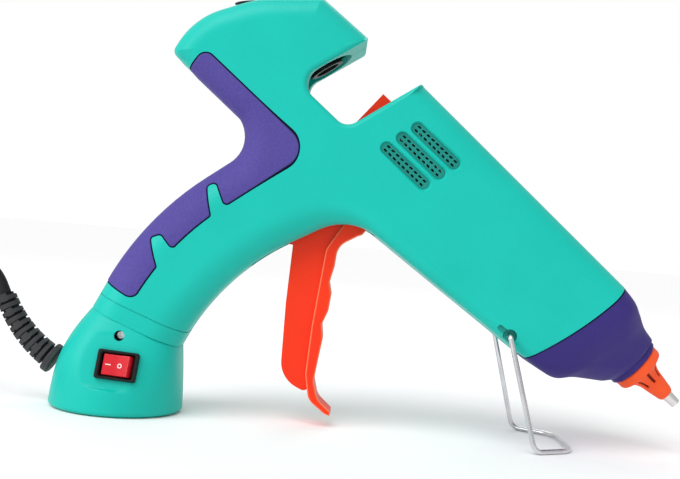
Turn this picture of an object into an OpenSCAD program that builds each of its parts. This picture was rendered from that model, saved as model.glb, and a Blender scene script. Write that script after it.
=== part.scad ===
// Hot glue applicator: two half shells on a base cup, with a sprung trigger that feeds the stick,
// a heated chamber behind a covered nozzle, a rocker switch, a folding wire stand and a mains lead.
// X runs from the base to the nozzle, Y away from the viewer, Z up. The origin is the middle of the base.

/* [Stick line] */
// Angle of the stick line below the table line
pitch = 38.9; // [36:0.1:41]
// Forward distance of the barrel mouth from the base middle
mouth_x = 117.25; // [112:0.25:122]
// Height of the barrel mouth on the stick line
mouth_z = 155.9; // [150:0.1:162]
// Diameter of the glue stick
stick_d = 11.2; // [10.8:0.1:11.6]
// Play round the stick in its guides
stick_play = 0.6; // [0.4:0.1:0.8]
// Extra room round the stick past the guide
feed_play = 0.8; // [0.7:0.05:0.9]

/* [Housing] */
// Half width of the housing over the base
half_w0 = 21; // [20.5:0.1:22]
// Growth of the half width per millimetre towards the nozzle
half_w_rise = 0.028; // [0.02:0.001:0.034]
// Wall of the half shells
wall = 3; // [2.8:0.1:3.2]
// Height of the top line over the stick line at the mouth
top_h = 24.7; // [24:0.1:26]
// Depth of the notch floor under the stick line
notch_h = 16.4; // [16:0.1:17.5]
// Depth of the hump underside under the stick line
hump_h = 47.6; // [46:0.2:49]
// Edge rounding of hump and barrel top
round_top = 11; // [9:0.5:12]
// Edge rounding of the handle
round_handle = 16; // [14:0.5:17]
// Edge rounding of the hump underside
round_back = 9; // [8:0.5:10]
// Edge rounding of the barrel underside
round_low = 5; // [4:0.5:6]
// Edge rounding of the notch
round_notch = 2.5; // [2:0.25:3]
// Length of the nose seam behind the nozzle tip on the stick line
nose_len = 65.5; // [63:0.5:68]
// Bare nozzle reach of the mouth to the tip
tip_s = 207.5; // [204:0.5:210]

/* [Grip] */
// Width of the grip band along the hump
grip_band = 12; // [10:0.5:14]
// Radius of the grip's inner edge at the crotch
grip_corner = 10; // [8:0.5:14]
// Width of the grip on the handle back
grip_width = 17.6; // [16:0.2:19]
// Depth of the pocket that holds the grip
grip_depth = 1.6; // [1.4:0.1:1.7]
// Height of the grip over the shell
grip_proud = 0.4; // [0.2:0.1:0.6]
// Gap round the grip edge
grip_gap = 0.3; // [0.25:0.05:0.5]

/* [Base cup] */
// Radius of the base
base_r = 33; // [32:0.5:35]
// Height of the cup seam on its middle
seam_z = 41.8; // [41:0.2:44]
// Half length of the cup seam
seam_half = 23.7; // [23:0.1:24.5]
// Tilt of the cup seam
seam_tilt = 20.1; // [18:0.1:22]
// Wall of the cup
cup_wall = 2.6; // [2.4:0.1:3]
// Squareness of the cup at its seam
cup_square = 0.93; // [0.6:0.01:1]
// Thickness of the base plate
plate_t = 2.5; // [2:0.25:3]
// Reach of the handle neck into the cup
neck_len = 10; // [9:0.5:10.5]
// Play between neck and cup
neck_play = 0.35; // [0.3:0.05:0.6]

/* [Switch] */
// Width of the switch bezel
bezel_w = 19.8; // [19:0.1:21]
// Height of the switch bezel
bezel_h = 14; // [13.4:0.1:15]
// Width of the rocker
rocker_w = 14.6; // [14:0.1:15]
// Height of the rocker
rocker_h = 10; // [9.4:0.1:10.4]
// Half of the rocker swing
rocker_half_swing = 7; // [6:0.5:8]
// Height of the switch middle over the table
switch_z = 24.2; // [23.6:0.2:25]

/* [Trigger] */
// Lever arm of the trigger pin under the stick line
arm = 39; // [37:0.5:41]
// Swing of the trigger
trigger_swing = 18; // [14:0.5:18]
// Half width of the finger strip
strip_half = 9.3; // [8.5:0.1:9.6]
// Half width of the trigger web
web_half = 6.5; // [5.5:0.1:7]
// Diameter of the trigger pin
pin_d = 4; // [3.8:0.1:4.4]
// Running gap of pins
run_gap = 0.05; // [0.03:0.01:0.08]
// Free gap between moving pieces
free_gap = 0.4; // [0.35:0.05:0.6]

/* [Heater] */
// Outer radius of the melt chamber
chamber_r = 11; // [10.5:0.1:11.5]
// Outer radius of the chamber supports
support_r = 16; // [15.6:0.1:16.4]
// Bore of the nozzle tip
outlet_d = 3; // [2:0.1:3.4]

/* [Stand] */
// Diameter of the stand wire
wire_d = 2.5; // [2.2:0.1:2.8]
// Forward lean of the stand legs
stand_lean = 15; // [12:0.5:18]
// Half width of the stand at its heels
stand_half = 33; // [31:0.5:35]
// Length of the stand foot
foot_len = 20; // [17:0.5:23]
// Largest fold of the stand
stand_fold = 110; // [90:5:120]

/* [Lead] */
// Diameter of the cord
cord_d = 6; // [5.6:0.1:6.2]
// Gap between coil turns
coil_gap = 0.6; // [0.5:0.05:0.8]
// Mean radius of the coil
coil_r = 34.5; // [34:0.25:36]
// Height of the plug body
plug_h = 16; // [15:0.5:17]
// Width of the plug body
plug_w = 24; // [22:0.5:26]

/* [Hidden] */
$fn = 48;
eps = 0.01;
ax = [cos(pitch), -sin(pitch)];
up = [sin(pitch), cos(pitch)];
clear_r = (stick_d + stick_play) / 2;
wide_r = clear_r + feed_play;

// A point s millimetres along the stick line from the mouth and h above it
function bp(s, h) = [mouth_x + s * ax[0] + h * up[0], mouth_z + s * ax[1] + h * up[1]];
function half_w(x) = half_w0 + half_w_rise * x;
function unit(v) = v / norm(v);
function inward(d) = [d[1], -d[0]];
function turn_of(a, b) = atan2(a[0] * b[1] - a[1] * b[0], a * b);
function mix(a, b, t) = a + (b - a) * t;

// Handle corner points, from the cup seam up
seam_c = [8.2, seam_z];
seam_e = [cos(seam_tilt), -sin(seam_tilt)];
seam_n = [sin(seam_tilt), cos(seam_tilt)];
heel = seam_c - seam_e * seam_half;
toe = seam_c + seam_e * seam_half;
back_bend = heel + [21.9, 45.7];
front_bend = toe + [16.0, 36.2];
hump_tail = bp(-92.7, -hump_h);
crotch = bp(-30.4, -hump_h);

// Each corner of the housing outline: point, corner radius, edge rounding of the edge that follows,
// and 1 where that edge is left open
OUT = [
  [heel, 0.4, round_handle, 0],
  [back_bend, 150, round_handle, 0],
  [crotch, 15, round_back, 0],
  [hump_tail, 4, round_top, 0],
  [bp(-96.6, -28.1), 38, round_top, 0],
  [bp(-80, 0.7), 60, round_top, 0],
  [bp(-57.5, top_h - 2.4), 4, round_top, 0],
  [bp(-26.4, top_h - 1.5), 2, round_notch, 0],
  [bp(-38.2, -notch_h), 8.2, round_notch, 0],
  [bp(-5.1, -notch_h), 7.5, round_notch, 0],
  [bp(6.75, top_h), 2, round_top, 0],
  [bp(tip_s - nose_len + 2.9, top_h - 3.3), 0.4, 0, 1],
  [bp(tip_s - nose_len - 9.3, -36.6), 0.4, round_low, 0],
  [bp(25.3, -44.9), 26, round_handle - 2, 0],
  [front_bend, 120, round_handle, 0],
  [toe, 0.4, 0, 1]
];
N = len(OUT);
PTS = [for (o = OUT) o[0]];
function edge_dir(i) = unit(PTS[(i + 1) % N] - PTS[i]);
DIRS = [for (i = [0 : N - 1]) edge_dir(i)];
TURNS = [for (i = [0 : N - 1]) turn_of(DIRS[(i + N - 1) % N], DIRS[i])];
STEPS = [for (i = [0 : N - 1]) OUT[i][1] < 1 ? 1 : max(2, ceil(abs(TURNS[i]) / 20))];

function line_meet(p, d, q, e) =
  p + d * (((q[0] - p[0]) * e[1] - (q[1] - p[1]) * e[0]) / (d[0] * e[1] - d[1] * e[0]));
// Control points with each edge moved inwards by its own offset
function moved(off) = [
  for (i = [0 : N - 1])
    let (a = (i + N - 1) % N)
      line_meet(PTS[i] + inward(DIRS[a]) * off[a], DIRS[a], PTS[i] + inward(DIRS[i]) * off[i], DIRS[i])
];
function arc_points(v, da, db, r, n) =
  let (
    turn = turn_of(da, db),
    side = turn < 0 ? 1 : -1,
    p = v - da * r * tan(abs(turn) / 2),
    c = p + inward(da) * r * side,
    w = p - c
  ) [
    for (j = [0 : n])
      let (a = turn * j / n)
        c + [w[0] * cos(a) - w[1] * sin(a), w[0] * sin(a) + w[1] * cos(a)]
  ];
// Rounded outline with the edges moved inwards: a list of [point, share of the corner, corner number].
// The crotch corner may have a radius of its own.
function outline(off, own = 0) =
  let (
    q = moved(off),
    want = [
      for (i = [0 : N - 1])
        let (a = (i + N - 1) % N, m = (off[a] + off[i]) / 2)
          (i == 2 && own > 0 ? own : max(0.3, OUT[i][1] + (TURNS[i] < 0 ? -m : m))) * tan(abs(TURNS[i]) / 2)
    ],
    span = [for (i = [0 : N - 1]) norm(q[(i + 1) % N] - q[i])],
    fit = [
      for (i = [0 : N - 1])
        let (a = (i + N - 1) % N, b = (i + 1) % N)
          want[i] * min(1, 0.995 * span[a] / (want[a] + want[i]), 0.995 * span[i] / (want[i] + want[b]))
    ]
  ) [
    for (i = [0 : N - 1])
      let (
        a = (i + N - 1) % N,
        r = fit[i] / tan(abs(TURNS[i]) / 2),
        pts = arc_points(q[i], DIRS[a], DIRS[i], r, STEPS[i])
      )
        for (j = [0 : STEPS[i]])
          [pts[j], j / STEPS[i], i]
  ];
// One ring of the half housing: inset t, arc angle th of the edge rounding
function ring(t, open_by, th) =
  let (
    rr = [for (o = OUT) o[3] == 1 ? 0 : max(0.4, o[2] - max(t, 0))],
    off = [for (i = [0 : N - 1]) (OUT[i][3] == 1 ? -open_by : t) + rr[i] * (1 - cos(th))]
  ) [
    for (o = outline(off))
      let (
        a = (o[2] + N - 1) % N,
        r0 = OUT[a][3] == 1 ? rr[o[2]] : rr[a],
        r1 = OUT[o[2]][3] == 1 ? rr[a] : rr[o[2]],
        r = mix(r0, r1, o[1])
      )
        [o[0][0], half_w(o[0][0]) - t - r * (1 - sin(th)), o[0][1]]
  ];
function foot_ring(t, open_by, y) =
  [for (o = outline([for (i = [0 : N - 1]) OUT[i][3] == 1 ? -open_by : t])) [o[0][0], y, o[0][1]]];

// Triangles of a ring that is not convex: corners are cut off one after the other
function sum3(l, i = 0) = i == len(l) - 1 ? l[i] : l[i] + sum3(l, i + 1);
function facing(r) = let (m = len(r)) unit(sum3([for (i = [0 : m - 1]) cross(r[i], r[(i + 1) % m])]));
function side_of(a, b, c, n) = cross(b - a, c - a) * n;
function is_ear(r, l, i, n) =
  let (m = len(l), a = r[l[(i + m - 1) % m]], b = r[l[i]], c = r[l[(i + 1) % m]])
    side_of(a, b, c, n) > 0.0001
    && len([
      for (k = l)
        let (q = r[k])
          if (q != a && q != b && q != c)
            if (min(side_of(a, b, q, n), side_of(b, c, q, n), side_of(c, a, q, n)) > -0.000001)
              1
    ]) == 0;
function next_ear(r, l, i, n, left) =
  left == 0 || is_ear(r, l, i % len(l), n) ? i % len(l) : next_ear(r, l, i + 1, n, left - 1);
function ears(r, l, s, n) =
  len(l) == 3
  ? [l]
  : let (m = len(l), i = next_ear(r, l, s, n, m))
      concat(
        [[l[(i + m - 1) % m], l[i], l[(i + 1) % m]]],
        ears(r, [for (k = [0 : m - 1]) if (k != i) l[k]], i + 1, n)
      );
function cap_faces(r, bent) =
  let (all = [for (i = [0 : len(r) - 1]) i])
    bent ? ears(r, all, 0, facing(r)) : [all];
// Solid through a stack of rings that all have the same number of points
module loft(rings, bent = false) {
  m = len(rings[0]);
  k = len(rings);
  polyhedron(
    points = [for (r = rings) for (p = r) p],
    faces = concat(
      cap_faces(rings[0], bent),
      [
        for (j = [0 : k - 2])
          for (i = [0 : m - 1])
            for (f = [0, 1])
              f == 0
              ? [j * m + i, (j + 1) * m + (i + 1) % m, j * m + (i + 1) % m]
              : [j * m + i, (j + 1) * m + i, (j + 1) * m + (i + 1) % m]
      ],
      [for (f = cap_faces(rings[k - 1], bent)) [for (i = [len(f) - 1 : -1 : 0]) (k - 1) * m + f[i]]]
    ),
    convexity = 8
  );
}
ARC = [0, 45, 90];
// Point of a straight edge with start o, heading e and inward normal n: u along it, under the rounding r
function edge_pt(o, e, n, u, r, t, th) =
  let (q = max(0.4, r - max(t, 0)), p = o + e * u + n * (t + q * (1 - cos(th))))
    [p[0], half_w(p[0]) - t - q * (1 - sin(th)), p[1]];
function flat_pt(o, e, n, u, d, y) = let (p = o + e * u + n * d) [p[0], y, p[1]];
function side_pt(q, t) = [q[0], half_w(q[0]) - t, q[1]];
HEAD = STEPS[0] + 1;
MID = STEPS[1] + STEPS[2] + 2;
COUNT = HEAD + MID + len([for (i = [3 : N - 1]) for (j = [0 : STEPS[i]]) 1]);
function part_of(l, a, b) = [for (i = [a : b]) l[i]];
// Ring of the housing with the grip pocket: k picks the foot (-2), a lip on the side (-1) or an arc angle
function pocket_ring(t, k, drop, g) =
  let (
    a = k == -2 ? foot_ring(t, -t, 0) : k == -1 ? lip_ring(0.5 + drop) : ring(t, -t, k),
    b = k == -2 ? foot_ring(grip_depth, 0, 0)
      : k == -1 ? pocket_lip(g + drop * 0.1, drop)
      : ring(grip_depth, 0, k),
    e2 = DIRS[2],
    n2 = inward(DIRS[2]),
    u0 = grip_ends[0] - g,
    u1 = grip_ends[1] + g
  )
    concat(
      part_of(a, 0, HEAD - 1),
      [pocket_end(back_bend, e_lo, i_lo, u0, round_handle, t, k, 0.5 + drop, 0)],
      [pocket_end(back_bend, e_lo, i_lo, u0, round_handle, grip_depth, k, grip_width + g + drop * 0.1, drop)],
      part_of(b, HEAD, HEAD + MID - 1),
      [pocket_end(crotch, e2, n2, u1, round_back, grip_depth, k, grip_band + g + drop * 0.1, drop)],
      [pocket_end(crotch, e2, n2, u1, round_back, t, k, 0.5 + drop, 0)],
      part_of(a, HEAD + MID, COUNT - 1)
    );
function pocket_end(o, e, n, u, r, t, k, d, drop) =
  k == -2 ? flat_pt(o, e, n, u, t, 0)
  : k == -1
  ? let (p = o + e * u + n * (t > 0 ? d : r + d)) side_pt(p, t > 0 && drop == 0 ? t : 0)
  : edge_pt(o, e, n, u, r, t, k);
function lip_ring(d) =
  [for (o = outline([for (q = OUT) q[3] == 1 ? 0.2 + d : q[2] + d])) side_pt(o[0], 0)];
function pocket_lip(g, drop) =
  [
    for (o = outline([for (i = [0 : N - 1]) i < 3 ? grip_width_at(i) + g : 1], grip_corner + g))
      side_pt(o[0], drop == 0 ? grip_depth : 0)
  ];
// Ring of the room inside the shell, with as many points as the outer rings
function room_ring(k) =
  let (
    a = k == -2 ? foot_ring(wall, -wall, 0) : ring(wall, -wall, k),
    e2 = DIRS[2],
    n2 = inward(DIRS[2]),
    u = [grip_ends[0] - 0.6, grip_ends[0] + 0.4, grip_ends[1] - 0.4, grip_ends[1] + 0.6]
  )
    concat(
      part_of(a, 0, HEAD - 1),
      [for (i = [0, 1]) room_pt(back_bend, e_lo, i_lo, u[i], round_handle, k)],
      part_of(a, HEAD, HEAD + MID - 1),
      [for (i = [2, 3]) room_pt(crotch, e2, n2, u[i], round_back, k)],
      part_of(a, HEAD + MID, COUNT - 1)
    );
function room_pt(o, e, n, u, r, k) =
  k == -2 ? flat_pt(o, e, n, u, wall, 0) : edge_pt(o, e, n, u, r, wall, k);
// Half of the housing on the far side as a closed skin of the wall thickness with the grip pocket
module half_skin() {
  loft(concat(
    [for (k = [90, 0, -2]) room_ring(k)],
    [for (k = [-2, 0, 45, 90]) pocket_ring(0, k, 0, grip_gap)],
    [for (drop = [0, 0.5]) pocket_ring(0, -1, drop, grip_gap)]
  ), true);
}
// Places children with local Z forward along the stick line and local X up
module on_line(s = 0, h = 0, y = 0) {
  p = bp(s, h);
  translate([p[0], y, p[1]])
    rotate([0, 90 + pitch, 0])
      rotate([0, 0, 180])
        children();
}
module slab(s0, s1, h0, h1, y0, y1) {
  on_line(s0, h0)
    translate([0, -y1, 0])
      cube([h1 - h0, y1 - y0, s1 - s0]);
}
module rod_y(p, r, y0, y1) {
  translate([p[0], y1, p[1]])
    rotate([90, 0, 0])
      cylinder(r = r, h = y1 - y0);
}
module plate_y(pts, y0, y1) {
  translate([0, y1, 0])
    rotate([90, 0, 0])
      linear_extrude(y1 - y0)
        polygon(pts);
}
module far_or_near(side) {
  if (side > 0) children();
  else mirror([0, 1, 0]) children();
}

// Closed outline with rounded corners from a list of [point, radius]
function soft_poly(c, grow = 0) =
  let (
    n = len(c),
    p = [for (v = c) v[0]],
    d = [for (i = [0 : n - 1]) unit(p[(i + 1) % n] - p[i])],
    q = [
      for (i = [0 : n - 1])
        let (a = (i + n - 1) % n)
          line_meet(p[i] - inward(d[a]) * grow, d[a], p[i] - inward(d[i]) * grow, d[i])
    ]
  ) [
    for (i = [0 : n - 1])
      let (a = (i + n - 1) % n, t = turn_of(d[a], d[i]), r = max(0.2, c[i][1] + (t < 0 ? grow : -grow)))
        for (w = c[i][1] <= 0 ? [q[i]] : arc_points(q[i], d[a], d[i], r, max(2, ceil(abs(t) / 24))))
          w
  ];

// Frames along the handle back, above and below its bend
e_up = DIRS[1];
i_up = inward(DIRS[1]);
e_lo = DIRS[0];
i_lo = inward(DIRS[0]);
function ub(u, d) = back_bend + e_up * u + i_up * d;
function lb(u, d) = back_bend + e_lo * u + i_lo * d;
// The grip covers the handle back and the hump underside from the middle plane to a line on the side.
function grip_width_at(i) = i == 2 ? grip_band : grip_width;
grip_ends = [-35.8, 49.5];
// Loops of the grip from its lower to its upper end: outer depth t0, inner depth t1, widened by g
function grip_rings(t0, t1, g) =
  let (
    start = STEPS[0] + 1,
    count = STEPS[1] + STEPS[2] + 2,
    rows = [for (t = [t0, t1]) [for (th = ARC) ring(t, 0, th)]],
    foot = [for (t = [t0, t1]) foot_ring(t, 0, 0.1 - g)],
    lip = outline([for (i = [0 : N - 1]) i < 3 ? grip_width_at(i) + g : 1], grip_corner + g),
    body = [
      for (i = [start : start + count - 1])
        concat(
          [foot[1][i]],
          [for (k = [0, 1, 2]) rows[1][k][i]],
          [[lip[i][0][0], half_w(lip[i][0][0]) - t1, lip[i][0][1]]],
          [[lip[i][0][0], half_w(lip[i][0][0]) - t0, lip[i][0][1]]],
          [for (k = [2, 1, 0]) rows[0][k][i]],
          [foot[0][i]]
        )
    ]
  )
    concat(
      [grip_end(back_bend, e_lo, i_lo, grip_ends[0] - g, round_handle, grip_width + g, t0, t1, g)],
      body,
      [grip_end(crotch, DIRS[2], inward(DIRS[2]), grip_ends[1] + g, round_back, grip_band + g, t0, t1, g)]
    );
// One end loop, u along an edge from its point o
function grip_end(o, e, n, u, r, d, t0, t1, g) =
  let (
    loop = concat(
      [[t1, 0.1 - g, 0]],
      [
        for (th = ARC)
          let (q = max(0.4, r - max(t1, 0)))
            [t1 + q * (1 - cos(th)), -t1 - q * (1 - sin(th)), 1]
      ],
      [[d, -t1, 1], [d, -t0, 1]],
      [
        for (k = [2, 1, 0])
          let (q = max(0.4, r - max(t0, 0)))
            [t0 + q * (1 - cos(ARC[k])), -t0 - q * (1 - sin(ARC[k])), 1]
      ],
      [[t0, 0.1 - g, 0]]
    )
  ) [for (l = loop) let (p = o + e * u + n * l[0]) [p[0], l[1] + (l[2] == 1 ? half_w(p[0]) : 0), p[1]]];
// The two gaps of the grip where fingers of the shell show, narrowed by g
module fingers(g) {
  plate_y(soft_poly([
    [ub(39.6, grip_width + 12), 0], [ub(31, grip_width + 12), 0],
    [ub(35.4, grip_width - 13.3), 2], [ub(40.6, grip_width - 12.4), 2]
  ], -g), -1, 60);
  plate_y(soft_poly([
    [lb(-6.3, grip_width + 14), 0], [lb(-15, grip_width + 14), 0],
    [lb(-6.6, grip_width - 7.2), 2], [lb(-1.8, grip_width - 3), 2]
  ], -g), -1, 60);
}

// Pivots
foot_s = 12.7;
travel = arm * trigger_swing * PI / 180;
pin_p = bp(foot_s, -arm);
trunnion_s = foot_s - travel / 2;
stand_p = bp(119.9, -34.2);
wire_r = wire_d / 2;
stand_y = half_w(stand_p[0]) + free_gap + wire_r;

// Places of the chamber supports on the stick line, and the end of the heater block before the front one
rear_s = 76;
front_s = tip_s - nose_len - 8.5;
block_end = front_s - 3.5;

// Screw posts of the half shells
POSTS = [
  bp(-78, -22), bp(-50, 12.7), bp(-40, -29.3), bp(38, 14.6), bp(front_s - 5.5, -26.5), bp(63, -31.7)
];
post_r = 4.1;
screw_r = 1.4;

// Slots of the vents: start, end and height on the stick line
VENTS = [[12.7, 43, -10], [14.9, 45, -1.4], [16.9, 46.8, 6.9]];
vent_half = 3;

/* Half shells */
module vents() {
  for (v = VENTS) {
    p = bp((v[0] + v[1]) / 2, v[2]);
    w = half_w(p[0]);
    on_line(0, v[2])
      rotate([-90, 0, 0])
        translate([0, 0, w - 1])
          hull() {
            translate([0, -v[0] - vent_half, 0]) cylinder(r = vent_half, h = 3, $fn = 24);
            translate([0, -v[1] + vent_half, 0]) cylinder(r = vent_half, h = 3, $fn = 24);
          }
    for (r = [-1, 1])
      for (i = [0 : 6])
        slab(
          v[0] + 2.6 + i * 3.7, v[0] + 4.6 + i * 3.7, v[2] + r * 1.35 - 0.75, v[2] + r * 1.35 + 0.75,
          w - wall - 2, w + 1
        );
  }
}
// Posts, saddles and guides that stand on the inside of the side wall
module inner_ribs() {
  for (p = POSTS)
    rod_y(p, post_r, 0.05, half_w(p[0]) - 2.6);
  rod_y(pin_p, 5.2, fork_out + free_gap + 0.2, half_w(pin_p[0]) - 2.2);
  for (s = [rear_s + 0.5, front_s + 0.5])
    difference() {
      slab(s, s + 4, -11, 11, 10, half_w(bp(s, 0)[0]) - 2.2);
      on_line(s - 1) cylinder(r = support_r + 0.05, h = 6);
    }
  // seat of the return spring and shelf over the carriage
  difference() {
    slab(42, 44.5, -12, 11, 0.05, half_w(bp(42, 0)[0]) - 2.2);
    on_line(41) cylinder(r = wide_r + 0.8, h = 6);
  }
  slab(10, 34, 9.4 + free_gap, 11.4 + free_gap, 2, half_w(bp(10, 0)[0]) - 2.2);
  // sleeve of the stand pivot
  rod_y(stand_p, 2.9, half_w(stand_p[0]) - 7, half_w(stand_p[0]) - 2.8);
}
// Neck that goes into the cup
function oval(a, b, n = 40) = [for (i = [0 : n - 1]) [a * cos(360 * i / n), b * sin(360 * i / n)]];
neck_a = seam_half - cup_wall - neck_play;
neck_b = half_w(seam_c[0]) - cup_wall - neck_play;
module on_seam(d = 0) {
  p = seam_c - seam_n * d;
  translate([p[0], 0, p[1]])
    rotate([0, seam_tilt, 0])
      children();
}
module neck() {
  difference() {
    on_seam(neck_len)
      linear_extrude(neck_len + 1.6)
        difference() {
          polygon(oval(neck_a, neck_b));
          polygon(oval(neck_a - 2.2, neck_b - 2.2));
        }
    on_seam(30) translate([-60, -119.95, 0]) cube([120, 120, 80]);
  }
}
slot_half = strip_half + free_gap + 0.3;
// Opening in the underside for the trigger
module trigger_slot() {
  p = [
    pin_p + [21, -24], pin_p + [12, -8], pin_p + [-20, -8],
    pin_p + [-47, -26], pin_p + [-40, -44], pin_p + [0, -40]
  ];
  plate_y(p, -1, slot_half);
}
inlet_r = clear_r + 2.4;
carriage_half = 9;
fork_in = carriage_half + free_gap + 0.2;
fork_out = fork_in + 3;
module shell(side) {
  far_or_near(side)
    difference() {
      union() {
        difference() {
          half_skin();
          // open ends at the nose and at the neck
          slab(seam_b - 8, seam_t + 8, -32, 17, -1, seam_w - wall - 2);
          on_seam(8) linear_extrude(20) polygon(oval(neck_a - 1.2, neck_b - 1.2));
        }
        inner_ribs();
        neck();
      }
      vents();
      trigger_slot();
      // carriage mouth and stick inlet
      slab(-20, 9, -15.4, 10.4, -1, fork_out + free_gap + 0.2);
      on_line(-120) cylinder(r = inlet_r + 0.05, h = 100);
      rod_y(stand_p, wire_r + run_gap + 0.15, half_w(stand_p[0]) - 5.5, 60);
      rod_y(pin_p, pin_d / 2 + 0.02, 0, half_w(pin_p[0]) - wall);
      for (p = POSTS)
        if (side > 0) {
          rod_y(p, screw_r + 0.35, -1, half_w(p[0]) - 8.5);
          rod_y(p, 2.9, half_w(p[0]) - 9, half_w(p[0]) + 5);
        } else
          rod_y(p, screw_r + 0.05, -1, half_w(p[0]) - wall - 1.2);
      // hole for the cup screw
      rod_y(cup_screw, 1.45, 5, 60);
    }
}
// Space over the stick line at the hump, where the housing is a cap of its own
module hump_space(lift = 0) {
  plate_y([bp(-130, lift), bp(-20, lift), bp(-20, 60), bp(-130, 60)], -60, 60);
}
module lower_shell(side) {
  color([0.1, 0.72, 0.66])
    difference() {
      shell(side);
      hump_space();
    }
}
module hump_cap(side) {
  color([0.1, 0.72, 0.66])
    intersection() {
      shell(side);
      hump_space(0.03);
    }
}
module right_shell() {
  lower_shell(-1);
}
module left_shell() {
  lower_shell(1);
}
module right_hump() {
  hump_cap(-1);
}
module left_hump() {
  hump_cap(1);
}
module shell_screws() {
  color([0.75, 0.76, 0.78])
    for (p = POSTS) {
      w = half_w(p[0]);
      difference() {
        union() {
          rod_y(p, screw_r, -w + wall + 1.4, w - 9 + eps);
          rod_y(p, 2.7, w - 9, w - 6.8);
        }
        for (a = [0, 90])
          translate([p[0], w - 7.3, p[1]]) rotate([0, a, 0]) translate([-1.8, 0, -0.4]) cube([3.6, 2, 0.8]);
      }
    }
}

/* Grips */
module grip(side) {
  far_or_near(side)
    difference() {
      loft(grip_rings(-grip_proud, grip_depth - 0.05, 0), true);
      fingers(0);
    }
}
module right_grip() {
  color([0.3, 0.27, 0.56]) grip(-1);
}
module left_grip() {
  color([0.3, 0.27, 0.56]) grip(1);
}

/* Base cup */
cup_screw = seam_c - seam_n * 5.2 + seam_e * -3.2;
flat_tilt = 15;
flat_y = 27.4;
// Ring of the cup between base v = 0 and seam v = 1, inset by t
function cup_ring(v, t, n = 48) =
  let (
    bulge = sin(180 * v) * 2.1,
    a = mix(base_r, seam_half, v) + bulge - t,
    b = mix(base_r, half_w(seam_c[0]), pow(v, 1.3)) + bulge * 0.5 - t,
    c = [mix(0, seam_c[0], v) - bulge, mix(base_lift, seam_z, v)],
    e = seam_tilt * v,
    k = 2 / (2 + cup_square * ease(min(1, v)))
  ) [
    for (i = [0 : n - 1])
      let (q = 360 * i / n, x = a * bow(cos(q), k))
        [c[0] + x * cos(e), b * bow(sin(q), k), c[1] - x * sin(e)]
  ];
function bow(x, k) = (x < 0 ? -1 : 1) * pow(abs(x), k);
function flat_ring(r, z, n = 48) = [for (i = [0 : n - 1]) let (q = 360 * i / n) [r * cos(q), r * sin(q), z]];
base_lift = 0.5;
module cup_body() {
  loft(concat(
    [flat_ring(base_r - 2.2, base_lift), flat_ring(base_r - 0.7, base_lift + 0.7)],
    [for (v = [0.06, 0.2, 0.35, 0.5, 0.65, 0.8, 1]) cup_ring(v, 0)]
  ));
}
module cup_room() {
  loft(concat(
    [flat_ring(base_r - cup_wall, base_lift - 2), flat_ring(base_r - cup_wall, base_lift + 0.6)],
    [for (v = [0.08, 0.2, 0.35, 0.5, 0.65, 0.8, 1.05]) cup_ring(v, cup_wall)]
  ));
}
// Space beyond the flat round the switch, d deeper than its face
module beyond_flat(d) {
  on_flat()
    translate([-60, -60, -d])
      cube([120, 120, 60]);
}
// Local Z points out of the flat, local X along the base
module on_flat() {
  translate([4.6, -flat_y, switch_z])
    rotate([90 - flat_tilt, 0, 0])
      rotate([0, 0, -3])
        children();
}
module base_cup() {
  color([0.1, 0.72, 0.66])
    difference() {
      union() {
        difference() {
          cup_body();
          beyond_flat(0);
          difference() {
            cup_room();
            beyond_flat(cup_wall);
          }
        }
        // posts for the base plate
        for (q = [30, 150, 270])
          rotate([0, 0, q]) translate([plate_hole, 0, plate_t + 0.02]) {
            cylinder(r = 3.4, h = 9);
            translate([0, -1, 0]) cube([base_r - 1.8 - plate_hole, 2, 6.5]);
          }
      }
      on_flat()
        translate([-bezel_w / 2 + 0.7, -bezel_h / 2 + 0.7, -20])
          cube([bezel_w - 1.4, bezel_h - 1.4, 30]);
      for (q = [30, 150, 270])
        translate([plate_hole * cos(q), plate_hole * sin(q), -1]) cylinder(r = 1.3, h = 12);
      translate([0, 0, -1]) cylinder(r = plate_r + 0.25, h = plate_t + 1);
      on_relief() translate([0, 0, -12]) cylinder(r = relief_neck + 0.1, h = 30);
      rod_y(cup_screw, 1.7, -60, 60);
      rod_y(cup_screw, 2.9, -60, -cup_screw_y);
      rod_y(cup_screw, 2.9, cup_screw_y, 60);
    }
}
plate_r = base_r - cup_wall - 0.4;
plate_hole = base_r - 9;
cup_screw_y = half_w(cup_screw[0]) - 0.9;
module base_plate() {
  color([0.09, 0.6, 0.55])
    difference() {
      cylinder(r = plate_r, h = plate_t);
      for (q = [30, 150, 270])
        translate([plate_hole * cos(q), plate_hole * sin(q), -1]) {
          cylinder(r = 1.6, h = plate_t + 2);
          cylinder(r = 2.9, h = 2.2);
        }
    }
}
module base_screws() {
  color([0.75, 0.76, 0.78])
    for (q = [30, 150, 270])
      translate([plate_hole * cos(q), plate_hole * sin(q), 0])
        difference() {
          union() {
            translate([0, 0, 0.3]) cylinder(r = 2.6, h = 0.9);
            translate([0, 0, 1]) cylinder(r = 1.25, h = 9);
          }
          for (a = [0, 90])
            rotate([0, 0, a]) translate([-1.8, -0.4, 0]) cube([3.6, 0.8, 0.7]);
        }
}
module cup_screws() {
  color([0.75, 0.76, 0.78])
    for (m = [1, -1])
      far_or_near(m)
        difference() {
          union() {
            rod_y(cup_screw, 1.4, neck_b - 6, cup_screw_y + eps);
            rod_y(cup_screw, 2.7, cup_screw_y, cup_screw_y + 1.3);
          }
          for (a = [0, 90])
            translate([cup_screw[0], cup_screw_y + 0.6, cup_screw[1]])
              rotate([0, a + 20, 0])
                translate([-1.9, 0, -0.4])
                  cube([3.8, 2, 0.8]);
        }
}

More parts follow.
